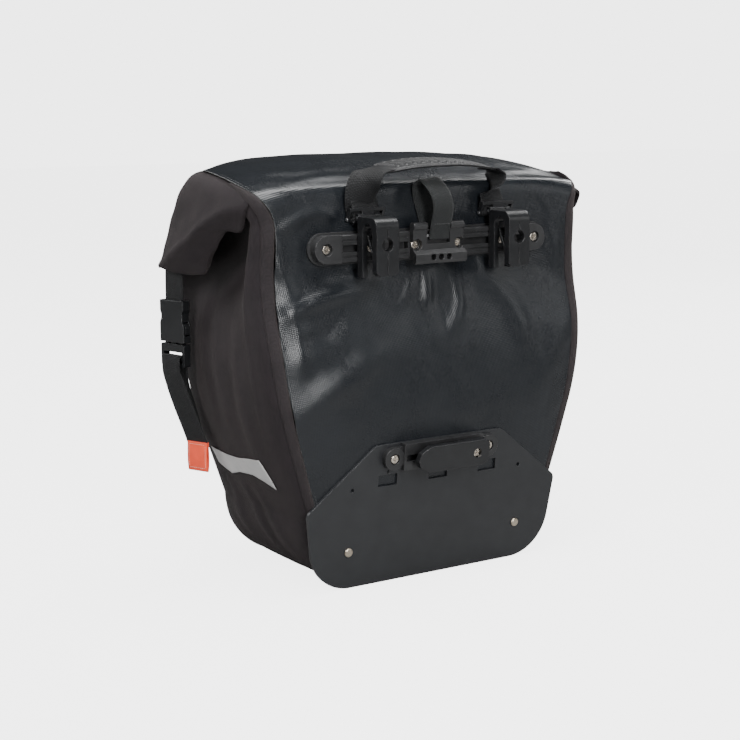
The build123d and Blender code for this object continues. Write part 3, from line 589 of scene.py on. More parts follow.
def make_back_sheet():
    """Back, roof and roll in one piece of tarpaulin."""
    rows = back_rows()
    last_angle = math.pi / 2 * 0.93          # crowds the columns together near the seams
    u = np.sin(np.linspace(-1, 1, 113) * last_angle) / math.sin(last_angle)
    yc, zc, xe, ye, ze, run = (rows[:, i][:, None] for i in range(6))
    on_right = u > 0
    reach = np.abs(u)[None, :]
    power = 5.0 - 1.6 * smooth_step(ROOF_RUN, ROOF_RUN + 24, run) * on_right
    x = xe * u[None, :] + 0 * yc
    y = yc + (ye - yc) * reach**power
    z = zc + (ze - zc) * reach**power - right_droop(run) * on_right * reach**2
    points = np.stack([x, RACK_Y + y, z], axis=-1)
    run = run + 0 * x
    height = folds(x, run, BACK_FOLDS) * smooth_step(378, 368, run)
    height = height + folds(x, run, ROOF_FOLDS) * smooth_step(380, 388, run)
    height = height + np.abs(ripple(points, (70, 60, 45), 1.6, 1)) + ripple(points, (26, 30, 22), 0.5, 2)
    weld = 0.3 * np.exp(-(((run - 378) / 1.3) ** 2))
    points = push(points, (height - weld) * calm_places(x, run))
    sheet = Mesh().grid(points, fabric=np.stack([x, run], axis=-1)).make(
        "back_and_roof_sheet", "tarpaulin", "bag", ["tarpaulin", "cut_edge"],
        ["back_panel", "top_panel", "closure_roll"])
    thicken(sheet, TARP_T, 1.0, 1)


FRONT_FOLDS = [
    ([(-160, 300), (-110, 280), (-60, 276)], 13.0, 3.0),
    ([(158, 310), (120, 282), (70, 262)], 14.0, 3.2),
    ([(-150, 200), (-110, 168), (-60, 150)], 18.0, 3.0),
    ([(150, 190), (100, 150), (60, 120)], 18.0, 3.0),
    ([(-90, 340), (-30, 328), (40, 336)], 9.0, 2.0),
    ([(-120, 70), (-60, 50), (20, 46)], 12.0, 2.0),
]


FRONT_SHOULDER = [
    (163, 345, 168, 163, 345), (158, 360, 167.5, 158, 359), (151.5, 376, 166.5, 152, 371),
    (147, 388, 166, 148, 380), (143, 394, 165, 144, 384),
]


def make_front_sheet():
    """The front panel of tarpaulin, tucked under the roll."""
    z, half = seam_rows(96)
    lower = np.stack([table_value(FRONT_REL, z), z, half, seam_depths(z)[1], z], axis=1)
    rows = np.concatenate([lower, curve_through(FRONT_SHOULDER, 24)[1:]])
    u = np.linspace(-1, 1, 89)
    yc, zc, xe, ye, ze = (rows[:, i][:, None] for i in range(5))
    reach = np.abs(u)[None, :] ** 4
    x = xe * u[None, :]
    y, z = yc + (ye - yc) * reach, zc + (ze - zc) * reach
    points = np.stack([x, RACK_Y + y, z], axis=-1)
    run = arc_lengths(points, 0)
    height = folds(x, z, FRONT_FOLDS) + np.abs(ripple(points, (80, 60, 60), 2.2, 5))
    points = push(points, height * smooth_step(386, 366, z) * smooth_step(0, 25, z), -1.0)
    sheet = Mesh().grid(points, flip=True, fabric=np.stack([x, run], axis=-1)).make(
        "front_sheet", "tarpaulin", "bag", ["tarpaulin", "cut_edge"], ["front_panel"])
    thicken(sheet, TARP_T, 1.0, 1)


GUSSET_FOLDS = [
    ([(118, 292), (112, 240), (104, 176)], 8.0, 2.6),
    ([(92, 276), (84, 226), (78, 150)], 9.0, 2.4),
    ([(62, 262), (60, 210), (58, 130)], 9.0, -1.8),
    ([(44, 250), (46, 190), (40, 120)], 10.0, 2.2),
    ([(74, 92), (52, 62), (34, 34)], 6.0, 3.0),
    ([(100, 96), (80, 60), (60, 28)], 7.0, 3.2),
    ([(88, 88), (66, 54), (48, 26)], 5.0, -2.2),
    ([(128, 100), (120, 60), (100, 26)], 8.0, 2.6),
    ([(140, 70), (108, 40), (70, 14)], 7.0, 2.0),
]
ROUNDNESS = 3.2                             # power of the gusset's rounded section
# How far the gusset folds in between its seams, by height.
VALLEY = [(0, 0), (196, 0), (232, 2.0), (262, 10.0), (292, 26.0), (330, 46.0), (360, 52.0), (386, 40.0)]


def gusset_rows():
    """Seam x, rel y, z; widest x, z; front seam's rel y, from the bottom corner up over the shoulder."""
    angles = np.radians(np.linspace(-90, 0, 30))
    seam_z, wide_z = (np.linspace(z, SHOULDER_Z, 104)[1:] for z in (SEAM_CORNER, SIDE_CORNER))
    seam_x = [SEAM_BOTTOM_HALF + SEAM_CORNER * np.cos(angles), table_value(SEAM_HALF, seam_z)]
    wide_x = [SIDE_BOTTOM_HALF + SIDE_CORNER * np.cos(angles), table_value(SIDE_HALF, wide_z)]
    z = np.concatenate([SEAM_CORNER * (1 + np.sin(angles)), seam_z])
    back, front = seam_depths(z)
    wide_z = np.concatenate([SIDE_CORNER * (1 + np.sin(angles)), wide_z])
    rows = np.stack([np.concatenate(seam_x), back, z, np.concatenate(wide_x), wide_z, front], axis=1)
    return np.concatenate([rows, curve_through(SHOULDER, 30)[1:]])


def gusset_grid(t_values, seed):
    """The right gusset's surface at shares t of its depth, with its folds."""
    rows = gusset_rows()
    xs, ys, zs, xg, zg, yf = (rows[:, i][:, None] for i in range(6))
    t = np.asarray(t_values)[None, :]
    bulge = np.clip(1 - np.abs(2 * t - 1) ** ROUNDNESS, 0, 1) ** (1 / ROUNDNESS)
    under_ear = smooth_step(340, 378, zs) * smooth_step(0.3, 0.8, t)
    x = xs + (xg - xs) * bulge - 24 * under_ear
    z = zs + (zg - zs) * bulge - 7 * under_ear
    y = ys + (yf - ys) * t
    edge = 0.085 + 0.05 * smooth_step(330, 230, zg)
    start = edge + 0.13 * smooth_step(350, 368, zg)
    share = np.clip((t - start) / (0.93 - start), 0, 1)
    valley = np.where((share > 0) & (share < 1), 1 - np.abs(2 * share - 1) ** 2.6, 0)
    x = x - table_value(VALLEY, zg) * valley
    points = np.stack([x, RACK_Y + y, z], axis=-1)
    loose = smooth_step(0.07, 0.2, t) * smooth_step(1.0, 0.88, t) * smooth_step(-6, 34, z)
    height = folds(y, z, GUSSET_FOLDS) + ripple(points, (46, 40, 80), 1.5, seed)
    height = height * 0.6 + ripple(points, (20, 17, 36), 0.35, seed + 1)
    lip = 1.2 * np.exp(-(((t - edge) / 0.018) ** 2)) * smooth_step(120, 200, zg)
    return push(points, (height + lip) * loose)


def even_shares(points, t_values, count):
    """Shares of the depth that are evenly spaced on average over the surface."""
    run = arc_lengths(points, 1).mean(axis=0)
    return np.interp(np.linspace(0, run[-1], count), run, t_values)


def mirror_x(points, side):
    """The points as they are for side 1, on the other side of the middle for side -1."""
    return points * np.array([side, 1, 1])


def make_gusset(side, name):
    """One side of the bag, its seam tapes included."""
    dense = np.linspace(0, 1, 201)
    seed = GUSSET_SEED[side]
    t_values = even_shares(gusset_grid(dense, seed), dense, 84)
    points = gusset_grid(t_values, seed)
    piece = Mesh().grid(mirror_x(points, side), flip=side < 0).make(
        name + "_gusset_cloth", "gusset_fabric", "bag", ["gusset_fabric"], [name + "_gusset"])
    thicken(piece, 1.0, -1.0)
    make_seam_tapes(side, name, seed)


def make_seam_tapes(side, name, seed):
    """Binding tape along the back and front seams of one gusset."""
    ends = [np.linspace(0, 0.3, 181), np.linspace(0.3, 0.7, 21)[1:], np.linspace(0.7, 1, 181)[1:]]
    surface = gusset_grid(np.concatenate(ends), seed)
    run = arc_lengths(surface, 1)
    across = np.array([0.0, 0.5, 2.5, 5.0, 7.5, 10.0, 12.0, 13.0, 13.5])
    lift = np.array([-0.6, 0.9, 1.15, 1.15, 1.1, 1.1, 1.1, 1.0, -0.3])
    for label, from_front in (("back", False), ("front", True)):
        strip = np.zeros((surface.shape[0], len(lift), 3))
        for r in range(surface.shape[0]):
            at = run[r, -1] - across[::-1] if from_front else across
            strip[r] = np.stack([np.interp(at, run[r], surface[r, :, c]) for c in range(3)], axis=1)
        raised = lift[::-1] if from_front else lift
        strip = push(strip, np.broadcast_to(raised, strip.shape[:2]))
        tape = Mesh().grid(mirror_x(strip, side), flip=side < 0).make(
            f"{name}_{label}_seam_tape", "gusset_fabric", "bag", ["seam_tape"])
        thicken(tape, 0.5, -1.0)


def make_bottom():
    """The strip under the bag, between the two gussets."""
    half = SEAM_BOTTOM_HALF + 1.5
    x = np.linspace(-half, half, 41)[:, None]
    t = np.linspace(0, 1, 61)[None, :]
    y0, y1 = BACK_REL[0][1], FRONT_REL[0][1]
    y = y0 + (y1 - y0) * t + 0 * x
    points = np.stack([x + 0 * t, RACK_Y + y, 0.6 + 0 * y], axis=-1)
    sag = np.abs(ripple(points, (40, 40, 40), 1.2, 31))
    points[..., 2] += sag * smooth_step(0, 0.1, t) * smooth_step(1, 0.9, t)
    piece = Mesh().grid(points, flip=True).make(
        "bottom_sheet", "gusset_fabric", "bag", ["gusset_fabric"], ["bottom_panel"])
    thicken(piece, 1.4, -1.0)


# Rows down an ear, from the roof to its lower edge: x, rel y and z at its back, middle and front.
EAR_BACK = [
    (182, 30, 378), (187, 24, 374.5), (188.5, 22, 369), (190.5, 24, 363.5), (196, 30, 350), (201, 38, 341),
    (204, 58, 332), (207, 74, 315.5), (209, 89, 299),
]
EAR_MID = [
    (184, 95, 392.6), (191, 95.5, 391), (199, 97, 385.5), (206, 99, 371), (210.5, 101, 351), (213, 104, 331),
    (214, 109, 313), (213, 117, 296),
]
EAR_FRONT = [
    (158, 151, 389), (165, 151, 389.5), (176, 152, 383), (186, 153, 374), (193, 154, 360), (200, 154.5, 345),
    (208, 154, 326), (215, 151, 303),
]
RIGHT_EAR_BACK = [
    (182, 31, 378), (187, 26, 374.5), (196, 26, 370), (207, 32, 360), (214, 40, 348), (209, 55, 331),
    (208, 74, 313), (209, 89, 298.5),
]
# The ridge across an ear, below which it tucks in: rel y and z.
EAR_CREASE = [
    (-10, 371), (4, 369.6), (22, 367), (43, 362), (59, 354), (74, 345), (98, 330), (126, 315), (150, 302),
]


def ear_surface(side, inward, inset):
    """The outer face of one layer of an ear, moved inward, with its back and lower edges drawn in."""
    count = 46
    edges = (EAR_BACK if side < 0 else RIGHT_EAR_BACK, EAR_MID, EAR_FRONT)
    back, mid, front = (curve_through(edge, count)[:, None, :] for edge in edges)
    c = np.linspace(inset / 90, 1 - inset / 150, 34)[None, :, None]
    points = back * (1 - c) * (1 - 2 * c) + mid * 4 * c * (1 - c) + front * c * (2 * c - 1)
    if side > 0:
        points[..., 2] -= 6.0 * smooth_step(count * 0.35, 0, np.arange(count))[:, None]
    points = points[: count - int(inset * 0.4)]
    points[..., 1] += RACK_Y
    height = ripple(points, (50, 40, 40), 3.0, 41) + ripple(points, (16, 18, 26), 0.9, 42)
    h = np.linspace(0, 1, len(points))[:, None]
    height = height * smooth_step(0, 0.25, h)
    under = table_value(EAR_CREASE, points[..., 1] - RACK_Y) - points[..., 2]
    height = height + 2.6 * np.exp(-((under / 6.0) ** 2)) * smooth_step(0.1, 0.3, h)
    height = height - 11.0 * smooth_step(-2, 26, under) * smooth_step(0.15, 0.35, h)
    height = height - 2.0 * np.exp(-(((under + 30) / 12.0) ** 2)) * smooth_step(0.2, 0.5, h)
    return push(points, height - inward, -1.0)


def closed_layer(outer, thickness):
    """Rounded closed sections through a sheet, one loop of points for each row."""
    inner = outer + grid_normals(outer) * thickness
    tip_a = (outer[:, :1] + inner[:, :1]) / 2 + (outer[:, :1] - outer[:, 1:2]) * 0.45
    tip_b = (outer[:, -1:] + inner[:, -1:]) / 2 + (outer[:, -1:] - outer[:, -2:-1]) * 0.45
    loops = np.concatenate([outer, tip_b, inner[:, ::-1], tip_a], axis=1)
    tip = loops[-1:] + (loops[-1:] - loops[-2:-1]) * 0.6
    centre_line = (tip + np.concatenate([tip[:, :1], tip[:, :0:-1]], axis=1)) / 2
    return np.concatenate([loops, tip * 0.35 + centre_line * 0.65], axis=0)


def make_ear(side, name):
    """The folded end of the roll, three layers of cloth that hang beside the bag."""
    mesh = Mesh()
    for inward, inset, thickness in ((0.0, 0.0, 3.2), (3.6, 3.0, 3.0), (7.2, 6.0, 2.8)):
        loops = closed_layer(ear_surface(side, inward, inset), thickness)
        mesh.grid(mirror_x(loops, side), wrap=True, ends=True, flip=side > 0)
    mesh.make(name + "_ear_cloth", "gusset_fabric", "bag", ["gusset_fabric"], [name + "_ear"])


def make_stitches():
    """Stitch rows along the back sheet's two long seams."""
    rows = back_rows()
    rows = rows[(rows[:, 5] > 20) & (rows[:, 5] < 470)]
    _, _, x, y, z, run = rows.T
    lift = smooth_step(370, 390, run)
    for label, side in (("left", -1), ("right", 1)):
        drop = right_droop(run) * (side > 0)
        line = np.stack([side * (x - 2.4), RACK_Y + y - 0.9 + 0.8 * lift, z - drop + 1.6 * lift], axis=1)
        stitch_piece(f"{label}_seam_stitches", "tarpaulin", "bag", "dark_thread", [line], 3.6, 2.3, 0.42)


def stitch_piece(name, slot, body, thread, lines, pitch, length, radius):
    """Small thread capsules along lines of points."""
    mesh = Mesh()
    for line in lines:
        run = arc_lengths(line[None], 1)[0]
        for start in np.arange(1.0, run[-1] - length, pitch):
            ends = np.stack([np.interp((start, start + length), run, column) for column in line.T], axis=1)
            mesh.grid(capsule(*ends, radius), wrap=True, ends=True)
    mesh.make(name, slot, body, [thread])


def capsule(a, b, radius):
    """A short thread between two points, six-sided and round-ended."""
    d = (b - a) / np.linalg.norm(b - a)
    side = np.cross(d, (0.3, 0.2, 0.93))
    side = side / np.linalg.norm(side)
    up = np.cross(d, side)
    rings = []
    turn = np.arange(6)[:, None] * math.pi / 3
    for share, scale in ((0.0, 0.35), (0.15, 0.85), (0.5, 1.0), (0.85, 0.85), (1.0, 0.35)):
        rings.append(a + (b - a) * share + radius * scale * (side * np.cos(turn) + up * np.sin(turn)))
    return np.array(rings)


# ---------------------------------------------------------------- webbing
def ribbon(mesh, knots, width, thickness, count, columns=13):
    """Flat strap through knots of centre and width direction, with rounded selvedges."""
    rows = curve_through(knots, count)
    centre, across = rows[:, :3], rows[:, 3:6]
    tangent = np.gradient(centre, axis=0)
    tangent /= np.linalg.norm(tangent, axis=1, keepdims=True)
    across = across - tangent * (across * tangent).sum(axis=1, keepdims=True)
    across /= np.linalg.norm(across, axis=1, keepdims=True)
    normal = np.cross(tangent, across)
    s = np.linspace(-1, 1, columns)
    half = thickness / 2 * (1 - 0.55 * np.abs(s) ** 8)
    wide = np.interp(np.linspace(0, 1, count), np.linspace(0, 1, np.size(width)), np.atleast_1d(width))
    place = centre[:, None] + across[:, None] * (s[None, :, None] * wide[:, None, None] / 2)
    rise = normal[:, None] * half[None, :, None]
    loops = np.concatenate([place + rise, (place - rise)[:, ::-1]], axis=1)
    run = arc_lengths(centre[None], 1)[0]
    lanes = np.concatenate([s, s[::-1]])[None, :] * wide[:, None] / 2
    fabric = np.stack([lanes, np.broadcast_to(run[:, None], lanes.shape)], axis=-1)
    return mesh.grid(loops, wrap=True, ends=True, fabric=fabric)


def make_strap(name, body, replaces, knots, width, thickness, count, cloth="webbing"):
    """One ribbon as a piece of webbing."""
    ribbon(Mesh(), knots, width, thickness, count).make(name, "webbing", body, [cloth], [replaces])


def rel(x, y, z, wx, wy, wz):
    """Knot with its depth measured from the screw heads' plane."""
    return (x, RACK_Y + y, z, wx, wy, wz)


def loop_round(x, y, z, radius, start, turn, count, width_dir):
    """Knots that go round a bar that lies along X; angles in degrees from +Y towards +Z."""
    knots = []
    for i in range(count):
        angle = math.radians(start + turn * i / (count - 1))
        knots.append(rel(x, y + radius * math.cos(angle), z + radius * math.sin(angle), *width_dir))
    return knots


# Knots of the handle's straps from the lap's end, from each bar's middle: x, rel y, z, width direction.
LEFT_LAP = [(-4.5, 3.8, 372, 1, 0.02, 0), (-1.5, 4.0, 366, 1, 0.06, 0), (0, 2.7, 357, 1, 0, 0)]
LEFT_RISE = [
    (-3, 6.0, 357, 1, 0, 0), (-6.5, 2.6, 369, 0.99, -0.13, -0.05), (-5, -0.8, 381, 0.90, -0.42, -0.13),
    (-0.5, -2.2, 388.5, 0.60, -0.78, -0.14), (7, -1.6, 393.6, 0.12, -0.98, -0.15),
    (16, -0.5, 395.6, 0, -1, -0.12), (25, 0, 396.6, 0, -1, -0.1),
]
RIGHT_LAP = [(-7, 4.2, 371, 0.97, 0.1, 0), (-6, 4.0, 366, 1, 0.1, 0), (-4.5, 2.7, 357, 1, 0, 0)]
RIGHT_RISE = [
    (-5, 6.0, 357, 1, 0, 0), (-6.5, 5.0, 366, 0.95, 0.3, 0), (-5.5, 2.5, 374, 0.45, 0.88, 0),
    (-3, 0.8, 381.5, -0.2, 0.97, 0.1), (-3.5, 0.0, 388.5, -0.35, 0.9, 0.3), (-8.5, 0, 392.2, -0.1, 1, 0),
    (-16, 0, 392.2, 0, 1, 0),
]


def make_handle():
    """Webbing that loops round each pull bar and turns over into the grip's ends."""
    low, high = corner_mm("left_pull_bar", 0), corner_mm("left_pull_bar", 1)
    bar_y, bar_z = low[1] - RACK_Y + 1.5, low[2] + 1.5
    bar_x = (low[0] + high[0]) / 2
    sides = (("left", bar_x, 0, LEFT_LAP, LEFT_RISE, [29, 30, 30, 30, 30, 30.5, 30, 29, 27, 25]),
             ("right", -bar_x, -4, RIGHT_LAP, RIGHT_RISE, [26, 28, 28, 27, 26, 25, 24, 24, 25]))
    for name, middle, shift, lap, rise, width in sides:
        lap, rise = ([rel(middle + x, *rest) for x, *rest in knots] for knots in (lap, rise))
        turn = loop_round(middle + shift, bar_y, bar_z, 2.5, 200, 250, 9, (1, 0, 0))
        make_strap(name + "_handle_strap", "handle", name + "_handle_webbing", lap + turn + rise,
                   width, HANDLE_WEB_T, 120)
    stitch = np.array([(bar_x - 12 + i * 1.2, RACK_Y + 4.4, 361.5) for i in range(21)])
    mirrored = stitch * np.array([-1, 1, 1]) + np.array([-4.5, 0, 1.5])
    stitch_piece("handle_stitches", "webbing", "handle", "dark_thread", [stitch, mirrored], 2.4, 1.6, 0.35)


# The grip's arch: x and z of its upper and lower face.
GRIP_TOP = [
    (-70, 395.5), (-62, 399.3), (-45, 402.8), (-25, 404.8), (0, 405), (25, 403.6), (45, 401), (62, 397.5),
    (70, 394.5),
]
GRIP_LOW = [
    (-70, 393), (-57, 394.5), (-28, 397.6), (0, 398.6), (27, 398.4), (50, 395.8), (65, 393.2), (70, 392.2),
]
GRIP_REACH, GRIP_HALF = 70, 14               # half length, half width and end radius
SLOT_PITCH, SLOT_DEPTH = 9.6, 2.8


def make_grip():
    """Arched grip plate with slanted slots and a row of studs; the slots' floors are painted near-black as
    shade.
    """
    straight = GRIP_REACH - GRIP_HALF
    cap = np.linspace(straight, GRIP_REACH, 30)
    body = np.linspace(0.5 - straight, straight - 0.5, 223)
    x = np.concatenate([-cap[::-1], body, cap])[:, None]
    past = np.clip((np.abs(x) - straight) / GRIP_HALF, 0, 0.996)
    v = np.linspace(-1, 1, 57)[None, :]
    y = GRIP_HALF * np.sqrt(1 - past**2) * v
    top = table_value(GRIP_TOP, x) - 2.4 + 0.22 * y
    low = table_value(GRIP_LOW, x) - 1.0 + 0.12 * y
    rim = smooth_step(0.86, 1.0, np.abs(v))
    top = top - 0.9 * v**2 - 2.2 * rim * (1 - 0.5 * past)
    low = low + 1.6 * rim
    shaded_slots = np.zeros(top.shape, bool)
    dx, dy = 9.5, -14.0                      # a slot's run from its start, 5 mm before its middle
    for middle in np.arange(-54, 56, SLOT_PITCH):
        x0, y0 = middle - 5, 9.5
        share = np.clip(((x - x0) * dx + (y - y0) * dy) / (dx * dx + dy * dy), 0, 1)
        away = np.hypot(x - x0 - share * dx, y - y0 - share * dy)
        stud = np.hypot(x - middle - 7.5, y + 8.6)
        # slot floors that get the painted shade material
        shaded_slots |= away < 2.1
        top = top - SLOT_DEPTH * smooth_step(2.7, 1.7, away) - 0.9 * smooth_step(1.7, 1.0, stud)
    top = np.maximum(top, low + 0.4)
    upper = np.stack([x + 0 * y, RACK_Y + y, top], axis=-1)
    lower = np.stack([x + 0 * y, RACK_Y + y * 0.97, low], axis=-1)
    grip = Mesh().grid(np.concatenate([upper, lower[:, ::-1]], axis=1), wrap=True, ends=True).make(
        "grip_plate", "grip_rubber", "handle", ["grip_rubber", "painted_slot_shade"], ["handle_grip"])
    # faces inside the slots are given the near-black painted shade
    painted_shade_faces = np.concatenate([shaded_slots, np.zeros(lower.shape[:2], bool)], axis=1).ravel()
    for face in grip.data.polygons:
        if len(face.vertices) == 4 and all(painted_shade_faces[v] for v in face.vertices):
            face.material_index = 1


CENTRE_LOOP = [
    (3.0, -4.6, 328, 1, 0, 0), (3.0, -5.2, 336, 1, 0, 0), (2.5, -8.8, 346, 1, 0.03, 0),
    (1.5, -12.6, 358, 1, 0.06, 0), (-1, -12.8, 369, 0.99, 0.08, 0.02), (-4.5, -7.5, 379, 0.98, 0.1, 0.06),
    (-7.5, 0.5, 384.5, 0.97, 0.1, 0.1), (-9, 6.0, 380, 0.97, 0.05, 0.1), (-8, 7.2, 370, 0.98, 0, 0.06),
    (-4.5, 6.6, 357, 1, 0, 0.02), (-1, 6.4, 345, 1, 0, 0), (0, 5.0, 339, 1, 0, 0),
]


def make_centre_loop():
    """Wide soft loop held under the centre block."""
    make_strap("centre_loop_strap", "bag", "centre_loop", [rel(*knot) for knot in CENTRE_LOOP],
               24, HANDLE_WEB_T, 110, "fuzzy_webbing")
    line = np.array([(3.0 - 10 + i * 1.0, RACK_Y - 8.7, 342.6) for i in range(21)])
    stitch_piece("centre_loop_stitches", "webbing", "bag", "dark_thread", [line], 2.6, 1.7, 0.35)


def strap_across(side, twist):
    """Direction across a side strap."""
    return (side * math.sin(twist), math.cos(twist), 0.0)


def make_side_straps(side, name):
    """Upper strap, anchored strap, free tail and end tab of one side."""
    bx, by, bz = BUCKLE_TOP
    foot = bz - BUCKLE_HEIGHT

    def knot(out, x, y, z, twist=STRAP_TWIST):
        """A point that lies out of the strap's plane by out millimetres."""
        x, y = x + out * math.cos(twist), y - out * math.sin(twist)
        return rel(side * x, y, z, *strap_across(side, twist))

    upper = [knot(-0.4, bx - 1.5, by, bz + 50), knot(0.4, bx - 0.8, by, bz + 30),
             knot(0.2, bx - 0.2, by, bz + 12), knot(0, bx, by, bz - 1.5)]
    anchored = [knot(0, bx, by, foot + 9), knot(-1.5, bx - 0.6, by, foot + 4),
                knot(-1.2, 202, 142, foot - 14), knot(0.6, 192, 146, 168), knot(0.8, 184, 149, 144),
                knot(0.4, 177, 152, 122)]
    tail = [knot(6.2, bx, by, foot + 12), knot(6.6, bx, by, foot + 4), knot(6.3, bx, by, foot - 4),
            knot(6.0, 203, 138.5, 190, STRAP_TWIST * 1.2), knot(5.2, 198.5, 133, 168, STRAP_TWIST * 1.35),
            knot(2.5, 194.5, 127, 146, STRAP_TWIST * 1.5), knot(0.0, *TAB_CENTRE, 130, TAIL_TWIST)]
    for kind, part, body, knots, count in (
            ("upper", "upper_strap", "bag", upper, 40), ("anchored", "anchor_strap", "bag", anchored, 70),
            ("tail", "tail_strap", name + "_tail", tail, 80)):
        make_strap(f"{name}_{kind}_webbing", body, f"{name}_{part}", knots, WEB, WEB_T, count)
    make_end_tab(side, name)


TAB_CENTRE = (192.0, 124.0)                  # x and rel y
TAB_TOP, TAB_LOW = 133.0, 104.0


def make_end_tab(side, name):
    """Folded ribbon sewn over the tail's end, with a stitched border."""
    wide = np.array(strap_across(side, TAIL_TWIST))
    out = np.array([side * math.cos(TAIL_TWIST), -math.sin(TAIL_TWIST), 0.0])
    middle = np.array([side * TAB_CENTRE[0], RACK_Y + TAB_CENTRE[1], 0.0])

    def bow(z):
        """How far the ribbon bows out over the tail's end, beside its own gap."""
        return 0.5 * math.sin((z - TAB_LOW) / (TAB_TOP - TAB_LOW) * math.pi)

    mesh = Mesh()
    lines = []
    reach = WEB / 2 - 2.4
    high, low = TAB_TOP - 2.6, TAB_LOW + 3.2
    corners = [(-reach, high), (reach, high), (reach, low), (-reach, low), (-reach, high)]
    for face in (1, -1):
        knots = []
        for z in np.linspace(TAB_TOP, TAB_LOW, 5):
            x, y, _ = middle + out * face * (1.15 + bow(z)) * (0.35 if z == TAB_LOW else 1.0)
            knots.append((x, y, z, *wide))
        ribbon(mesh, knots, WEB - 0.6, 0.7, 26, 11)
        for start, end in zip(corners, corners[1:]):
            line = [middle + wide * a + out * face * (1.55 + bow(z)) + np.array([0, 0, z])
                    for a, z in np.linspace(start, end, 12)]
            lines.append(np.array(line))
    mesh.make(name + "_tab_ribbon", "tab_fabric", name + "_tail", ["tab_fabric"], [name + "_end_tab"])
    stitch_piece(name + "_tab_stitches", "tab_fabric", name + "_tail", "pale_thread", lines, 2.4, 1.5, 0.28)


def make_reflective_strip(side, name, replaces):
    """Film sewn to the gusset, following its surface."""
    surface = gusset_grid(np.linspace(0.08, 0.92, 150), GUSSET_SEED[side])
    low, high = strip_edges()
    columns, rows = np.linspace(0, 1, 46), np.linspace(0, 1, 15)
    points = np.zeros((len(rows), len(columns), 3))
    for i, r in enumerate(rows):
        first, last = 31 + 10 * r, 138 + 4 * r        # rel y of the slanting ends
        for j, c in enumerate(columns):
            y = first + (last - first) * c
            z = np.interp(y, *low) * (1 - r) + np.interp(y, *high) * r
            points[i, j] = surface_point(surface, y, z)
    points = push(points, 0.9 + 0 * points[..., 0])
    piece = Mesh().grid(mirror_x(points, side), flip=side < 0).make(
        name + "_reflective_film", "reflector", "bag", ["reflector"], replaces)
    thicken(piece, 0.5, 0.0)


def strip_edges():
    """The strip's lower and upper edge: rel y and z."""
    low = np.array([(30, 99), (47, 104.5), (66, 107.5), (92, 105.5), (112, 100), (150, 110)]).T
    high = np.array([(24, 127), (38, 127.5), (60, 125), (85, 121.5), (112, 120.5), (150, 123)]).T
    return low, high


def surface_point(surface, y, z):
    """The point of a surface grid at a given rel y and height."""
    y = RACK_Y + y
    column = np.array([[np.interp(y, row[:, 1], row[:, k]) for k in (0, 2)] for row in surface[20:80]])
    column = column[np.argsort(column[:, 1])]
    return np.array([np.interp(z, column[:, 1], column[:, 0]), y, z])


def make_stiffener():
    """Stiff strip rolled into the closure; it bends down with the roof's ends."""
    half = 168
    x = np.linspace(-half, half, 57)[None, :]
    y = np.linspace(90, 138, 9)[:, None]
    sag = 9.0 * (np.abs(x) / half) ** 4 + 6.0 * (x > 0) * (np.abs(x) / half) ** 2
    points = np.stack([x + 0 * y, RACK_Y + y + 0 * x, 395.5 - sag + 0 * y], axis=-1)
    piece = Mesh().grid(points).make(
        "closure_stiffener_strip", "stiffener_board", "bag", ["stiffener_board"], ["closure_stiffener"])
    thicken(piece, 1.8, 0.0)


# ---------------------------------------------------------------- stage
def make_camera():
    """The photo's camera, from the solved position and angles."""
    position = Vector((-0.87832, -1.31206, 0.46122))
    azimuth, elevation, roll = (math.radians(a) for a in (-33.024, 9.695, -0.303))
    right = Vector((math.cos(azimuth), math.sin(azimuth), 0))
    back = Vector((math.sin(azimuth) * math.cos(elevation), -math.cos(azimuth) * math.cos(elevation),
                   math.sin(elevation)))
    up = back.cross(right)
    x_axis = right * math.cos(roll) + up * math.sin(roll)
    y_axis = up * math.cos(roll) - right * math.sin(roll)
    data = bpy.data.cameras.new("camera")
    data.lens = 77.84
    data.sensor_width = 36.0
    data.clip_start, data.clip_end = 0.05, 50.0
    camera = bpy.data.objects.new("camera", data)
    camera.matrix_world = Matrix((
        (x_axis.x, y_axis.x, back.x, position.x), (x_axis.y, y_axis.y, back.y, position.y),
        (x_axis.z, y_axis.z, back.z, position.z), (0, 0, 0, 1)))
    bpy.context.scene.collection.objects.link(camera)
    bpy.context.scene.camera = camera


def area_light(name, position, target, size, energy):
    """A white rectangular light that faces its target."""
    data = bpy.data.lights.new(name, "AREA")
    data.shape = "RECTANGLE"
    data.size, data.size_y = size
    data.energy = energy
    light = bpy.data.objects.new(name, data)
    light.location = position
    light.rotation_mode = "QUATERNION"
    light.rotation_quaternion = (Vector(target) - Vector(position)).to_track_quat("-Z", "Y")
    bpy.context.scene.collection.objects.link(light)


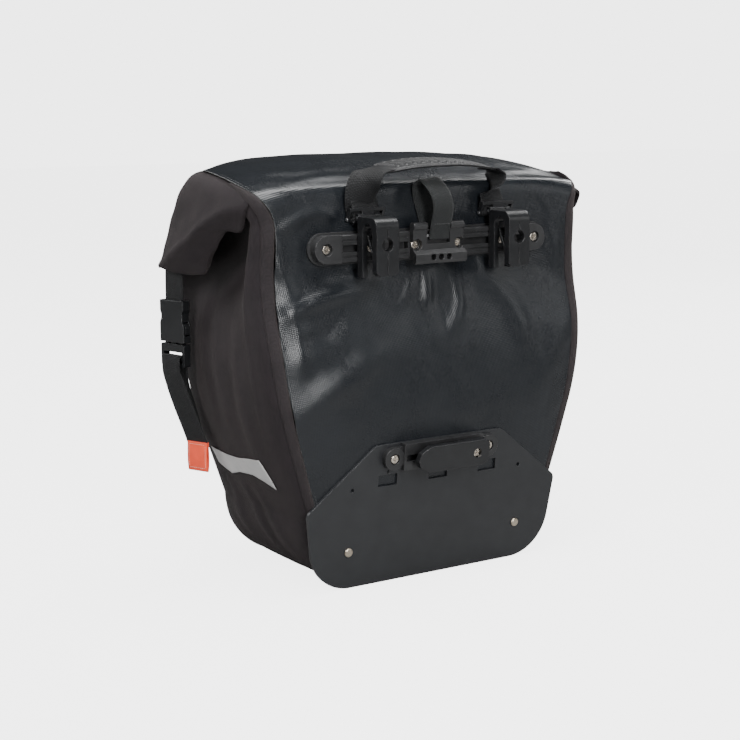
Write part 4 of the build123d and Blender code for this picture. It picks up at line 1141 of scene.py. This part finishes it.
def make_floor():
    """Pale floor that glows for the camera only, so that it puts no haze into the object's sheen."""
    n = material_nodes("floor")
    fine = n.noise(n.place(False), 400.0, 2.0, 0.5)
    colour = n.ramp(fine, [(0.3, (0.28, 0.28, 0.28)), (0.7, (0.31, 0.31, 0.31))])
    seen = n.add("ShaderNodeLightPath").outputs["Is Camera Ray"]
    glow = n.math("MULTIPLY", seen, BACKDROP - 0.2)
    n.tree.links.new(glow, n.shader.inputs["Emission Strength"])
    mesh = bpy.data.meshes.new("floor")
    reach, low = 9.0, CAD_BOX[0].z - 0.0003
    corners = [(-reach, -reach, low), (reach, -reach, low), (reach, reach, low), (-reach, reach, low)]
    mesh.from_pydata(corners, [], [(0, 1, 2, 3)])
    mesh.materials.append(n.finish(
        colour, 0.9, n.bump(fine, 0.2, 0.1), Specular_IOR_Level=0.1, Emission_Color=(1, 1, 1, 1)))
    floor = bpy.data.objects.new("floor", mesh)
    bpy.context.scene.collection.objects.link(floor)


def make_world():
    """A studio that is white behind the object and darker in its reflections."""
    world = bpy.data.worlds.new("studio")
    bpy.context.scene.world = world
    n = Nodes(world)
    split = n.add("ShaderNodeSeparateXYZ", {0: n.add("ShaderNodeTexCoord").outputs["Generated"]})
    fade = n.add("ShaderNodeMapRange", {
        "Value": split.outputs["Z"], "From Min": -0.1, "From Max": 1.0, "To Min": 0.03, "To Max": 0.14})
    seen = n.add("ShaderNodeLightPath").outputs["Is Camera Ray"]
    pick = n.add("ShaderNodeMix", {0: seen, 2: fade.outputs["Result"], 3: BACKDROP})
    background = n.tree.nodes["Background"]
    background.inputs["Color"].default_value = (1, 1, 1, 1)
    n.tree.links.new(pick.outputs[0], background.inputs["Strength"])


def make_stage():
    make_floor()
    make_world()
    area_light("key_left", (-1.9, -0.7, 1.5), (0, 0, 0.2), (0.7, 1.2), 42)
    area_light("front_strip", (-0.35, -2.2, 1.0), (0, 0, 0.25), (0.5, 1.6), 60)
    area_light("top", (0.1, -0.3, 2.2), (0, 0, 0.2), (2.0, 1.1), 80)
    area_light("right_low", (1.8, -1.6, 0.9), (0, 0, 0.25), (0.4, 1.0), 7)
    area_light("rear_left", (-1.3, 2.1, 1.5), (0, 0, 0.2), (0.9, 1.2), 34)
    area_light("rear_right", (2.1, 0.9, 1.4), (0, 0, 0.2), (0.8, 1.2), 30)


def main():
    make_camera()
    for subpart in frame["record"]["subparts"]:
        node = frame["nodes"][subpart["node"]]
        node.data.materials.clear()
        node.data.materials.append(MATERIALS[subpart["material_slot"]])
    make_back_sheet()
    make_front_sheet()
    for side, name in ((-1, "left"), (1, "right")):
        make_gusset(side, name)
        make_ear(side, name)
        make_side_straps(side, name)
        make_reflective_strip(side, name, ["reflective_strips"] if side < 0 else [])
    make_bottom()
    make_stiffener()
    make_stitches()
    make_handle()
    make_grip()
    make_centre_loop()
    make_stage()


main()
bpy.context.view_layer.update()
